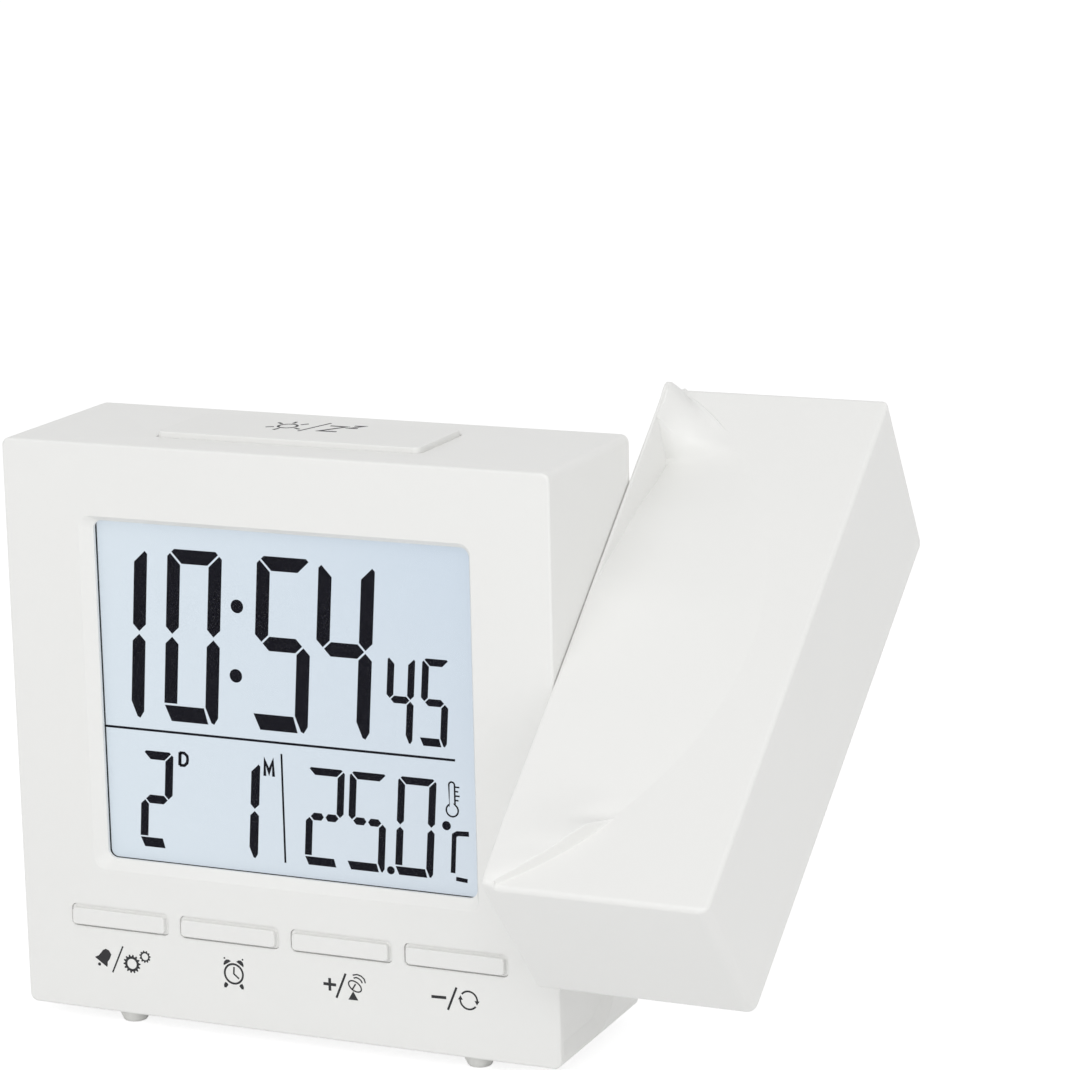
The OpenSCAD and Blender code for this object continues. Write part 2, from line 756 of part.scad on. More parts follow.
module beeper() color("#c9a646") {
    rod_y(beeper_x, beeper_z, beeper_r - 0.05, cover_near - beeper_t + 0.6, cover_near - beeper_t + 1);
    rod_y(beeper_x, beeper_z, beeper_r - 3, cover_near - beeper_t + 0.3, cover_near - beeper_t + 0.6 + touch);
}

// ---------------------------------------------------------------- power

module battery_cells() color("#3f7fb0") {
    flat = bay_inner_right - contact_t - 0.1 - nub_l;
    rod_x(deep(cell_deep), cell_low, cell_d / 2, flat - cell_l, flat);
    rod_x(deep(cell_deep), cell_low, cell_nub_r, flat - touch, flat + nub_l);
    other = bay_inner_left + contact_t + 0.1 + nub_l;
    rod_x(deep(cell_deep), cell_high, cell_d / 2, other, other + cell_l);
    rod_x(deep(cell_deep), cell_high, cell_nub_r, other - nub_l, other + touch);
}

module battery_contacts() color(steel) {
    high = cell_high + 6;
    low = cell_low - 6;
    // One plate joins both cells on the left, two single plates stand on the right
    block([bay_inner_left, deep(cell_deep - 5), low],
        [bay_inner_left + contact_t, deep(cell_deep + 5), high]);
    for (z = [cell_low, cell_high])
        block([bay_inner_right - contact_t, deep(cell_deep - 5), z - 6],
            [bay_inner_right, deep(cell_deep + 5), z + 6]);
}

module battery_springs() color(steel) {
    translate([bay_inner_left + contact_t, deep(cell_deep), cell_low]) rotate([0, 90, 0])
        coil(3.2, 0.35, spring_len, 4);
    translate([bay_inner_right - contact_t, deep(cell_deep), cell_high]) rotate([0, -90, 0])
        coil(3.2, 0.35, spring_len, 4);
}

module dc_jack() color(black) difference() {
    union() {
        block([jack_x - jack_size / 2, deep(jack_near), jack_z - jack_size / 2],
            [jack_x + jack_size / 2, deep(cover_near), jack_z + jack_size / 2]);
        rod_y(jack_x, jack_z, jack_collar_r, cover_near - touch, body_d);
    }
    rod_y(jack_x, jack_z, jack_bore / 2, body_d - jack_depth, body_d + cut);
}

module jack_pin() color(steel) rod_y(jack_x, jack_z, jack_pin_r, body_d - jack_depth, body_d - 2);

module rear_board() color(circuit)
    block([control_x - control_w / 2, deep(control_near), control_low],
        [control_x + control_w / 2, deep(control_near + control_t), control_low + control_h]);

module slide_switch() color(steel) difference() {
    translate([control_x, 0, slider_z]) plate(control_near + control_t, cover_near - 0.1)
        square([9, 4.6], center = true);
    translate([control_x, 0, slider_z]) plate(cover_near - 1.6, cover_near + cut)
        square([slot_w, 2.2], center = true);
}

module projection_slider() color(black) {
    x = control_x - slide_travel / 2;
    translate([x, 0, slider_z]) {
        plate(cover_near - 1.3, cover_near + 0.5) square([knob_w - 0.4, 1.6], center = true);
        plate(cover_near + 0.4, body_d + slide_proud) square([knob_w, knob_h], center = true);
    }
}

module reset_switch() color(black) {
    translate([control_x, 0, reset_z]) plate(control_near + control_t, control_near + control_t + 2.4)
        square(5, center = true);
    rod_y(control_x, reset_z, 1.2, control_near + control_t + 2.4 - touch, control_near + control_t + 2.9);
}

module reset_button() color("#8d8f92") {
    rod_y(control_x, reset_z, reset_r, control_near + control_t + 3 + reset_travel, body_d + reset_proud);
    rod_y(control_x, reset_z, reset_r + 1, cover_near - 1, cover_near - 0.2);
}

// ---------------------------------------------------------------- pivot

module arm_socket() color("#e8e4da")
    block([right_x - pivot_end - 5 - socket_w, deep(board_far), pivot_z - socket_h / 2],
        [right_x - pivot_end - 5, deep(socket_far), pivot_z + socket_h / 2]);

module pivot_bush() color("#c9cbc6") difference() {
    union() {
        rod_x(pivot_y, pivot_z, bush_r, right_x - bush_end, right_x);
        rod_x(pivot_y, pivot_z, bush_flange_r, right_x - bush_end, right_x - bush_end + bush_flange_t);
    }
    rod_x(pivot_y, pivot_z, pivot_r + pivot_fit, right_x - bush_end - cut, right_x + cut);
}

module friction_washer() color("#56585c") difference() {
    rod_x(pivot_y, pivot_z, washer_r, right_x, right_x + washer_t);
    rod_x(pivot_y, pivot_z, pivot_r + 0.15, right_x - cut, right_x + washer_t + cut);
}

// A dished ring that presses the arm to the case
module spring_washer() color(steel)
    translate([right_x - bush_end - 0.05, pivot_y, pivot_z]) rotate([0, -90, 0])
        rotate_extrude()
            polygon([[pivot_r + 0.3, 0.3], [pivot_r + 2.6, 0], [pivot_r + 2.6, 0.5], [pivot_r + 0.3, 0.8]]);

module pivot_tube() color(steel) on_arm() difference() {
    union() {
        rod_x(0, 0, pivot_r, -pivot_end, split_x + touch);
        rod_x(0, 0, pivot_flange_r, split_x, split_x + pivot_flange_t);
    }
    rod_x(0, 0, pivot_bore_r, -pivot_end - cut, split_x + pivot_flange_t + cut);
    difference() {
        rod_x(0, 0, pivot_r + cut, -bush_end - spring_washer_t - circlip_t - 0.05,
            -bush_end - spring_washer_t + 0.05);
        rod_x(0, 0, groove_r, -pivot_end - cut, 0);
    }
}

module retaining_ring() color(steel) on_arm() difference() {
    rod_x(0, 0, circlip_r, -bush_end - spring_washer_t - circlip_t, -bush_end - spring_washer_t);
    rod_x(0, 0, groove_r, -pivot_end, 0);
}

module arm_cable() color("#333338") on_arm() {
    rod_x(0, 0, cable_r, -pivot_end - 4.7, cable_turn);
    translate([cable_turn, 0, 0]) sphere(cable_r);
    translate([cable_turn, 0, cable_end]) cylinder(r = cable_r, h = -cable_end);
}

// ---------------------------------------------------------------- arm

// The arm seen from the side, drawn in by an inset
module arm_outline(inset) {
    r = max(arm_r - inset, 0.4);
    grip = inset + r;
    hull() {
        translate([grip - arm_front, grip - arm_low]) circle(r, $fn = 32);
        translate([grip - arm_front, arm_high - grip]) circle(r, $fn = 32);
        translate([arm_back_high - grip, arm_high - crown_drop - grip]) circle(r, $fn = 32);
        translate([arm_back_low - grip, heel_rise - arm_low + grip]) circle(r, $fn = 32);
    }
}

// Height of the ridge over the front face, at a place along the arm
function ridge(z) = leaf_ridge + z * tan(ridge_slope);

// The round that bounds the leaf, grown by a margin, as deep as one place in Y
module leaf_round(grow, inmost) {
    arm_rod_y(leaf_reach - leaf_r, leaf_z, leaf_r + grow, -arm_front - ridge_room, inmost);
}

module leaf() intersection() {
    leaf_round(0, -arm_front + touch);
    translate([0, -arm_front, 0]) rotate([ridge_slope, 0, 0]) translate([0, 0, -arm_low - 5])
        linear_extrude(arm_low + arm_high + 10) polygon([[arm_gap, -leaf_ridge], [leaf_reach, -leaf_edge],
            [leaf_reach, leaf_ridge], [arm_gap, leaf_ridge]]);
    arm_slab(arm_gap, arm_right)
        polygon([[touch - arm_front, arm_r - arm_low], [-arm_front - ridge_room, arm_r - arm_low],
            [-arm_front - ridge_room, arm_high - arm_r - crown_lean * ridge_room],
            [touch - arm_front, arm_high - arm_r]]);
}

// The finger scoop's outline in Y and Z, grown by a margin
module scoop_side(grow) {
    floor = scoop_deep + grow - arm_front;
    polygon([[-arm_front - ridge_room, 8 - grow], [-arm_front - 3.6, 11 - grow],
        [grow - arm_front, 25.5 - grow], [floor, 38], [floor - 0.7, 40.5 + grow],
        [-arm_front - 6, 44 + grow], [-arm_front - ridge_room, 44 + grow]]);
}

// Half-ring seats that hold the optics tube, from one X to another
module saddles(from, to) difference() {
    for (z = saddle_z)
        block([from, -saddle_half, z], [to, saddle_half, z + saddle_t]);
    arm_rod_z(optics_r, optics_low, optics_high);
}

// The flat plate that closes the arm on the case's side
module arm_inner_shell() color("#eeeeec") on_arm() difference() {
    union() {
        arm_slab(arm_gap, split_x) arm_outline(arm_wall + plate_gap);
        saddles(split_x - touch, optics_x - 0.1);
    }
    // Room for the scoop's lining
    arm_slab(arm_gap - cut, split_x + cut) scoop_side(scoop_liner + plate_gap);
    rod_x(0, 0, pivot_r, arm_gap - cut, split_x + cut);
    for (z = arm_screw_z, side = [-1, 1]) {
        rod_x(side * arm_screw_y, z, arm_screw_r + 0.2, arm_gap - cut, split_x + cut);
        rod_x(side * arm_screw_y, z, arm_head_r + 0.15, arm_gap - cut, arm_gap + arm_head_t + 0.1);
    }
}

// The arm's housing, open on the case's side, with the leaf on its front
module arm_outer_shell() color("#eeeeec") on_arm() difference() {
    union() {
        difference() {
            arm_slab(arm_gap, arm_right) arm_outline(0);
            arm_slab(arm_gap - cut, arm_right - arm_wall) arm_outline(arm_wall);
        }
        leaf();
        // Lining under the scoop
        intersection() {
            arm_slab(arm_gap, scoop_right) scoop_side(scoop_liner);
            leaf_round(0, 0);
            arm_slab(arm_gap, arm_right)
                translate([-arm_front, -arm_low]) square([arm_front, arm_low + arm_high]);
        }
        saddles(optics_x + 0.1, arm_right - arm_wall + touch);
        for (z = arm_screw_z, side = [-1, 1])
            rod_x(side * arm_screw_y, z, arm_boss_r, split_x, arm_right - arm_wall + touch);
        for (z = [driver_low + 4, driver_high - 4])
            rod_x(0, z, post_r, driver_x + driver_t, arm_right - arm_wall + touch);
    }
    // Finger scoop
    intersection() {
        arm_slab(arm_gap + cheek_t, scoop_right) scoop_side(0);
        leaf_round(-scoop_liner, 0);
    }
    for (z = arm_screw_z, side = [-1, 1])
        rod_x(side * arm_screw_y, z, arm_screw_r, split_x - cut, split_x + arm_screw_l + 1);
    arm_rod_z(ring_d / 2 + ring_clear, focus_flange_z + focus_flange_t, arm_high + cut);
}

module arm_screws() color(steel) on_arm()
    for (z = arm_screw_z, side = [-1, 1])
        translate([arm_gap + arm_head_t + 0.1, side * arm_screw_y, z]) rotate([0, 90, 0])
            screw(arm_screw_r - 0.02, arm_screw_l, arm_head_r, arm_head_t - 0.1);

// ---------------------------------------------------------------- projector

module optics_tube() color(black) on_arm() difference() {
    arm_rod_z(optics_r, optics_low, optics_high);
    arm_rod_z(optics_bore / 2, optics_low - cut, optics_high + cut);
}

module condenser_lens() color([0.85, 0.9, 0.95, 0.6]) on_arm() intersection() {
    arm_rod_z(optics_bore / 2, condenser_z - 1, condenser_z + 6);
    translate([optics_x, 0, condenser_z - lens_bulge + 4]) sphere(lens_bulge, $fn = 128);
}

module projector_lcd() color("#5a6470") on_arm()
    translate([optics_x, 0, image_z + image_t / 2]) cube([image_size, image_size, image_t], center = true);

module projector_led() color("#d9473f") on_arm() {
    arm_rod_z(led_r + 0.5, optics_low, optics_low + led_base_t);
    arm_rod_z(led_r, optics_low, optics_low + led_base_t + led_l);
    translate([optics_x, 0, optics_low + led_base_t + led_l]) sphere(led_r);
}

module led_board() color(circuit) on_arm()
    translate([optics_x, 0, led_board_z + led_board_t / 2])
        cube([led_board_w, led_board_w + 2, led_board_t], center = true);

module projector_board() color(circuit) on_arm() {
    block([driver_x, -driver_w / 2, driver_low], [driver_x + driver_t, driver_w / 2, driver_high]);
    block([cable_turn - 2, -3, cable_end - 6], [driver_x + touch, 3, cable_end]);
}

module focus_ring() color("#2a2b2e") on_arm() difference() {
    union() {
        arm_rod_z(ring_d / 2, focus_low, focus_high);
        arm_rod_z(focus_flange_r, focus_flange_z, focus_flange_z + focus_flange_t);
    }
    arm_rod_z(barrel_r + barrel_fit, focus_low - cut, focus_high + cut);
    // Finger notches in the end
    for (turn = [0 : 60 : 300])
        translate([optics_x, 0, focus_high - 0.5]) rotate(turn)
            translate([barrel_r + 0.6, -0.5, 0]) cube([4, 1, cut]);
}

module lens_barrel() color("#38393d") on_arm() difference() {
    arm_rod_z(barrel_r, barrel_low, barrel_high);
    arm_rod_z(barrel_r - barrel_wall, barrel_low - cut, barrel_high + cut);
}

module projection_lens() color([0.8, 0.87, 0.95, 0.6]) on_arm() intersection() {
    arm_rod_z(barrel_r - barrel_wall, lens_z - 4, lens_z + 4);
    translate([optics_x, 0, lens_z - lens_bulge + 2]) sphere(lens_bulge, $fn = 128);
    translate([optics_x, 0, lens_z + lens_bulge - 2]) sphere(lens_bulge, $fn = 128);
}

// The origin lies on the desk under the middle of the whole clock
translate([-middle_x, -middle_y, 0]) {
    front_housing();
    rear_cover();
    battery_door();
    lcd_window();
    lcd_panel();
    light_guide();
    backlight_led();
    lcd_bracket();
    zebra_strip();
    main_board();
    main_chip();
    quartz_crystal();
    temperature_sensor();
    front_switches();
    board_screws();
    settings_button();
    alarm_button();
    plus_button();
    minus_button();
    snooze_bar();
    snooze_springs();
    snooze_board();
    snooze_switch();
    snooze_screws();
    receiver_board();
    ferrite_rod();
    antenna_coil();
    beeper();
    battery_cells();
    battery_contacts();
    battery_springs();
    dc_jack();
    jack_pin();
    rear_board();
    slide_switch();
    projection_slider();
    reset_switch();
    reset_button();
    arm_socket();
    pivot_bush();
    spring_washer();
    friction_washer();
    feet();
    housing_screws();
    pivot_tube();
    retaining_ring();
    arm_cable();
    arm_inner_shell();
    arm_outer_shell();
    arm_screws();
    optics_tube();
    condenser_lens();
    projector_lcd();
    projector_led();
    led_board();
    projector_board();
    focus_ring();
    lens_barrel();
    projection_lens();
}
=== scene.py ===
import json
import math

import bpy
import bmesh
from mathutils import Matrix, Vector


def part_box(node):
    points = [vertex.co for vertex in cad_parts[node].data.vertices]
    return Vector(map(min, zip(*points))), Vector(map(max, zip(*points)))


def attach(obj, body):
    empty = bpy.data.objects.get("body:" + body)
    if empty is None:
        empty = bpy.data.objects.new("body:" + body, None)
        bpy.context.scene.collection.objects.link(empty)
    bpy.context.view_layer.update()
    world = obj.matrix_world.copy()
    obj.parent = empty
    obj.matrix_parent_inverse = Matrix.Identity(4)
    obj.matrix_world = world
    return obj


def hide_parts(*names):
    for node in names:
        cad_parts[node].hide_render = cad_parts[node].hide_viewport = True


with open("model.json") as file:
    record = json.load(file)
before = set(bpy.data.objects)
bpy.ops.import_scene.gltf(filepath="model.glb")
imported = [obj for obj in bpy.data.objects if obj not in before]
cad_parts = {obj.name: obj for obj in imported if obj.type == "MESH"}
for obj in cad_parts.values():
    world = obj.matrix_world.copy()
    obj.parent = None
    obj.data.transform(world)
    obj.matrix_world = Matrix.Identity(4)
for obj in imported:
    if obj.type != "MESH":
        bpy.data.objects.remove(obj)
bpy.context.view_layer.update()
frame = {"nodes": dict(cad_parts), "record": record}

# Millimetres: x to the right and y to the back from the middle of the case, z up from just under it
underside = 1.2  # z of the underside of the case
past = 1.0  # how far a cutter starts outside the surface
caseLow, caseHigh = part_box("front_housing")
caseMiddle = (caseLow + caseHigh) / 2
lift = caseLow.z - underside / 1000
cadNodes = frame["nodes"]


def metres(p):
    return (p[0] / 1000 + caseMiddle.x, p[1] / 1000 + caseMiddle.y, p[2] / 1000 + lift)


def quarterTurn(steps):  # the angles of a quarter circle
    return [math.radians(90 * k / steps) for k in range(steps + 1)]


def roundedLoop(x0, x1, z0, z1, r, steps=8):
    loop = []
    corners = ((x1 - r, z1 - r, 0), (x0 + r, z1 - r, 90), (x0 + r, z0 + r, 180), (x1 - r, z0 + r, 270))
    for cx, cz, start in corners:
        for k in range(steps + 1):
            a = math.radians(start + 90 * k / steps)
            loop.append((cx + r * math.cos(a), cz + r * math.sin(a)))
    return loop


def grown(edges, by, corner=None):  # edges: x0, x1, z0, z1, corner
    x0, x1, z0, z1, r = edges
    return (x0 - by, x1 + by, z0 - by, z1 + by, r + by if corner is None else corner)


def arcPoints(cx, cz, r, start=0.0, sweep=360.0, steps=48):
    count = steps if abs(sweep) >= 360 else steps + 1
    return [(cx + r * math.cos(math.radians(start + sweep * k / steps)),
             cz + r * math.sin(math.radians(start + sweep * k / steps))) for k in range(count)]


def loft(loops, capStart=True, capEnd=True):
    count = len(loops[0])
    points = [p for loop in loops for p in loop]
    faces = []
    for i in range(len(loops) - 1):
        for k in range(count):
            a, b = i * count + k, i * count + (k + 1) % count
            faces.append((a, b, b + count, a + count))
    if capStart:
        faces.append(tuple(reversed(range(count))))
    if capEnd:
        faces.append(tuple(range((len(loops) - 1) * count, len(loops) * count)))
    return points, faces


def joinShapes(shapes):
    points, faces = [], []
    for shapePoints, shapeFaces in shapes:
        base = len(points)
        points += shapePoints
        faces += [tuple(i + base for i in face) for face in shapeFaces]
    return points, faces


broadFace = 4e-5  # square metres; larger faces are flat ones


def shade(obj, sharpAngle=35):
    mesh = obj.data
    mesh.polygons.foreach_set("use_smooth", [face.area < broadFace for face in mesh.polygons])
    mesh.set_sharp_from_angle(angle=math.radians(sharpAngle))
    weight = obj.modifiers.new("face weight", "WEIGHTED_NORMAL")
    weight.keep_sharp = True
    return obj


def makePiece(name, shape, sharpAngle=35, smooth=True):
    mesh = bpy.data.meshes.new(name)
    mesh.from_pydata([metres(p) for p in shape[0]], [], shape[1])
    work = bmesh.new()
    work.from_mesh(mesh)
    bmesh.ops.recalc_face_normals(work, faces=work.faces)
    work.to_mesh(mesh)
    work.free()
    obj = bpy.data.objects.new(name, mesh)
    bpy.context.scene.collection.objects.link(obj)
    return shade(obj, sharpAngle) if smooth else obj


def carve(obj, shapes, sharpAngle=35):
    obj.modifiers.clear()
    cutters = [makePiece("cutter", shape, smooth=False) for shape in shapes]
    for cutter in cutters:
        cut = obj.modifiers.new("cut", "BOOLEAN")
        cut.operation = "DIFFERENCE"
        cut.solver = "EXACT"
        cut.object = cutter
    bpy.context.view_layer.update()
    graph = bpy.context.evaluated_depsgraph_get()
    mesh = bpy.data.meshes.new_from_object(obj.evaluated_get(graph), depsgraph=graph)
    obj.modifiers.clear()
    obj.data = mesh
    for cutter in cutters:
        bpy.data.objects.remove(cutter)
    return shade(obj, sharpAngle)


def stackY(rings, steps=8):  # each ring: y, x0, x1, z0, z1, corner
    return loft([[(x, ring[0], z) for x, z in roundedLoop(*ring[1:], steps)] for ring in rings])


def stackZ(rings, steps=8):  # each ring: z, x0, x1, y0, y1, corner
    return loft([[(x, y, ring[0]) for x, y in roundedLoop(*ring[1:], steps)] for ring in rings])


def lippedHole(y, deep, edges, lip, steps=4):
    rings = [(y - past, *grown(edges, lip))]
    for a in quarterTurn(steps):
        rings.append((y + lip * (1 - math.cos(a)), *grown(edges, lip * (1 - math.sin(a)))))
    rings.append((y + deep, *edges))
    return stackY(rings)


def prismY(outline, y0, y1):
    return loft([[(x, y0, z) for x, z in outline], [(x, y1, z) for x, z in outline]])


def prismZ(outline, z0, z1):
    return loft([[(x, y, z0) for x, y in outline], [(x, y, z1) for x, y in outline]])


def band(outer, inner, place0, place1):  # closed strip between two loops of equal length
    loops = [[place0(p) for p in outer], [place1(p) for p in outer], [place1(p) for p in inner],
             [place0(p) for p in inner]]
    count = len(outer)
    points, faces = loft(loops, False, False)
    for k in range(count):
        j = (k + 1) % count
        faces.append((3 * count + k, 3 * count + j, j, k))
    return points, faces


def bandY(outer, inner, y0, y1):
    return band(outer, inner, lambda p: (p[0], y0, p[1]), lambda p: (p[0], y1, p[1]))


def bandZ(outer, inner, z0, z1):
    return band(outer, inner, lambda p: (p[0], p[1], z0), lambda p: (p[0], p[1], z1))


def sideStep(points, half, closed):  # the same line moved sideways
    out, count = [], len(points)
    for i, p in enumerate(points):
        before = points[i - 1] if i or closed else p
        after = points[(i + 1) % count] if i < count - 1 or closed else p
        d0 = Vector((p[0] - before[0], p[1] - before[1]))
        d1 = Vector((after[0] - p[0], after[1] - p[1]))
        d0 = (d0 if d0.length else d1).normalized()
        d1 = (d1 if d1.length else d0).normalized()
        mid = (d0 + d1).normalized()
        reach = half / max(mid.dot(d0), 0.35)
        out.append((p[0] - mid.y * reach, p[1] + mid.x * reach))
    return out


def strokeLine(points, width):
    return sideStep(points, width / 2, False) + sideStep(points, -width / 2, False)[::-1]


# Light, camera and floor
view = {
    "place": (247.17, -482.95, 192.21), "turn": (77.422, 1.2259, 23.4268),
    "lens": 128.46, "sensor": 36, "nearest": 0.01,
}
camera = bpy.data.cameras.new("camera")
camera.lens = view["lens"]
camera.sensor_width = view["sensor"]
camera.sensor_fit = "HORIZONTAL"
camera.clip_start = view["nearest"]
cameraObject = bpy.data.objects.new("camera", camera)
cameraObject.location = metres(view["place"])
cameraObject.rotation_euler = [math.radians(a) for a in view["turn"]]
bpy.context.scene.collection.objects.link(cameraObject)
bpy.context.scene.camera = cameraObject
bpy.context.scene.view_settings.view_transform = "Standard"

studio = {
    "worldLight": 0.63,
    "lamps": {  # place in mm, size in m, watts
        "frontLamp": {"place": (90, -910, 620), "size": 0.9, "power": 3.75},
        "rightLamp": {"place": (820, -330, 330), "size": 0.8, "power": 1.15},
    },
    "lampsAimAt": (10, 0, 45),
    "floorHalf": 2500,
    "floorGrey": 0.35,  # with the glow, what the camera sees
    "floorGlow": 0.82,
    "floorBounce": 0.9,  # what the other rays see
}


def aim(obj, target):
    away = obj.location - Vector(target)
    obj.rotation_euler = away.to_track_quat("Z", "Y").to_euler()


for lampName, lamp in studio["lamps"].items():
    light = bpy.data.lights.new(lampName, "AREA")
    light.size = lamp["size"]
    light.energy = lamp["power"]
    lampObject = bpy.data.objects.new(lampName, light)
    lampObject.location = metres(lamp["place"])
    aim(lampObject, metres(studio["lampsAimAt"]))
    bpy.context.scene.collection.objects.link(lampObject)


def seenDirectly(tree):  # 1 for what the camera, gloss and glass see
    path = tree.nodes.new("ShaderNodeLightPath")
    last = path.outputs["Is Camera Ray"]
    for kind in ("Is Glossy Ray", "Is Transmission Ray"):
        larger = tree.nodes.new("ShaderNodeMath")
        larger.operation = "MAXIMUM"
        tree.links.new(last, larger.inputs[0])
        tree.links.new(path.outputs[kind], larger.inputs[1])
        last = larger.outputs[0]
    return last


world = bpy.data.worlds.new("studio")
bpy.context.scene.world = world
world.use_nodes = True
sky = world.node_tree
sky.nodes.clear()
softSky = sky.nodes.new("ShaderNodeBackground")
softSky.inputs["Color"].default_value = (1, 1, 1, 1)
softSky.inputs["Strength"].default_value = studio["worldLight"]
whiteSky = sky.nodes.new("ShaderNodeBackground")
whiteSky.inputs["Color"].default_value = (1, 1, 1, 1)
whiteSky.inputs["Strength"].default_value = 1
skyMix = sky.nodes.new("ShaderNodeMixShader")
skyOut = sky.nodes.new("ShaderNodeOutputWorld")
sky.links.new(seenDirectly(sky), skyMix.inputs[0])
sky.links.new(softSky.outputs[0], skyMix.inputs[1])
sky.links.new(whiteSky.outputs[0], skyMix.inputs[2])
sky.links.new(skyMix.outputs[0], skyOut.inputs[0])

floorPaint = bpy.data.materials.new("studioFloor")
floorPaint.use_nodes = True
tree = floorPaint.node_tree
tree.nodes.clear()
floorDiffuse = tree.nodes.new("ShaderNodeBsdfDiffuse")
floorDiffuse.inputs["Color"].default_value = (studio["floorGrey"],) * 3 + (1,)
floorLight = tree.nodes.new("ShaderNodeEmission")
floorLight.inputs["Strength"].default_value = studio["floorGlow"]
floorSum = tree.nodes.new("ShaderNodeAddShader")
plainFloor = tree.nodes.new("ShaderNodeBsdfDiffuse")
plainFloor.inputs["Color"].default_value = (studio["floorBounce"],) * 3 + (1,)
floorMix = tree.nodes.new("ShaderNodeMixShader")
floorOut = tree.nodes.new("ShaderNodeOutputMaterial")
tree.links.new(floorDiffuse.outputs[0], floorSum.inputs[0])
tree.links.new(floorLight.outputs[0], floorSum.inputs[1])
tree.links.new(seenDirectly(tree), floorMix.inputs[0])
tree.links.new(plainFloor.outputs[0], floorMix.inputs[1])
tree.links.new(floorSum.outputs[0], floorMix.inputs[2])
tree.links.new(floorMix.outputs[0], floorOut.inputs[0])

half, desk = studio["floorHalf"], -lift * 1000
floorCorners = [(-half, -half, desk), (half, -half, desk), (half, half, desk), (-half, half, desk)]
floor = makePiece("floor", (floorCorners, [(0, 1, 2, 3)]), smooth=False)
floor.data.materials.append(floorPaint)
print("studio ready")


# Effects that several finishes share
def newGroup(name, inputs, outputs):
    group = bpy.data.node_groups.new(name, "ShaderNodeTree")
    for socketName, kind, value in inputs:
        socket = group.interface.new_socket(socketName, in_out="INPUT", socket_type=kind)
        socket.default_value = value
    for socketName, kind in outputs:
        group.interface.new_socket(socketName, in_out="OUTPUT", socket_type=kind)
    return group, group.nodes.new("NodeGroupInput"), group.nodes.new("NodeGroupOutput")


def mathNode(tree, operation, a, b):
    node = tree.nodes.new("ShaderNodeMath")
    node.operation = operation
    for i, value in enumerate((a, b)):
        if isinstance(value, (int, float)):
            node.inputs[i].default_value = value
        else:
            tree.links.new(value, node.inputs[i])
    return node.outputs[0]


def noiseNode(tree, vector, scale, detail=2.0):
    node = tree.nodes.new("ShaderNodeTexNoise")
    node.inputs["Detail"].default_value = detail
    if isinstance(scale, (int, float)):
        node.inputs["Scale"].default_value = scale
    else:
        tree.links.new(scale, node.inputs["Scale"])
    tree.links.new(vector, node.inputs["Vector"])
    return node.outputs["Fac"]


def mixColor(tree, factor, a, b, blend="MIX"):
    node = tree.nodes.new("ShaderNodeMix")
    node.data_type = "RGBA"
    node.blend_type = blend
    for socket, value in zip((node.inputs[0], node.inputs[6], node.inputs[7]), (factor, a, b)):
        if isinstance(value, (int, tuple)):
            socket.default_value = value
        else:
            tree.links.new(value, socket)
    return node.outputs[2]


def rangeNode(tree, value, low, high):  # 0 at low, 1 at high
    node = tree.nodes.new("ShaderNodeMapRange")
    node.inputs["From Min"].default_value = low
    node.inputs["From Max"].default_value = high
    tree.links.new(value, node.inputs["Value"])
    return node.outputs["Result"]


def spreadRoughness(tree, source, mask):  # the group's roughness, moved up and down with the mask
    middled = mathNode(tree, "SUBTRACT", mask, 0.5)
    offset = mathNode(tree, "MULTIPLY", middled, source.outputs["Roughness Spread"])
    return mathNode(tree, "ADD", source.outputs["Roughness"], offset)


# Colour and gloss of a moulded surface: slow mottling, fine specks and a faint grain to press into it
mottle = {"slowScale": 45.0, "slowShare": 0.65, "speckScale": 900.0, "speckShare": 0.35}
grainGroup, grainIn, grainOut = newGroup(
    "mouldedGrain",
    [("Colour", "NodeSocketColor", (0.8, 0.8, 0.8, 1)), ("Deep Colour", "NodeSocketColor", (0.7, 0.7, 0.7, 1)),
     ("Roughness", "NodeSocketFloat", 0.5), ("Roughness Spread", "NodeSocketFloat", 0.08),
     ("Grain Scale", "NodeSocketFloat", 3000.0)],
    [("Colour", "NodeSocketColor"), ("Roughness", "NodeSocketFloat"), ("Height", "NodeSocketFloat")])
spot = grainGroup.nodes.new("ShaderNodeTexCoord")
slow = noiseNode(grainGroup, spot.outputs["Object"], mottle["slowScale"], 3.0)
fine = noiseNode(grainGroup, spot.outputs["Object"], grainIn.outputs["Grain Scale"], 2.0)
specks = noiseNode(grainGroup, spot.outputs["Object"], mottle["speckScale"], 4.0)
blotch = mathNode(grainGroup, "ADD", mathNode(grainGroup, "MULTIPLY", slow, mottle["slowShare"]),
                  mathNode(grainGroup, "MULTIPLY", specks, mottle["speckShare"]))
grainGroup.links.new(mixColor(grainGroup, blotch, grainIn.outputs["Colour"], grainIn.outputs["Deep Colour"]),
                     grainOut.inputs["Colour"])
grainGroup.links.new(spreadRoughness(grainGroup, grainIn, blotch), grainOut.inputs["Roughness"])
grainGroup.links.new(fine, grainOut.inputs["Height"])

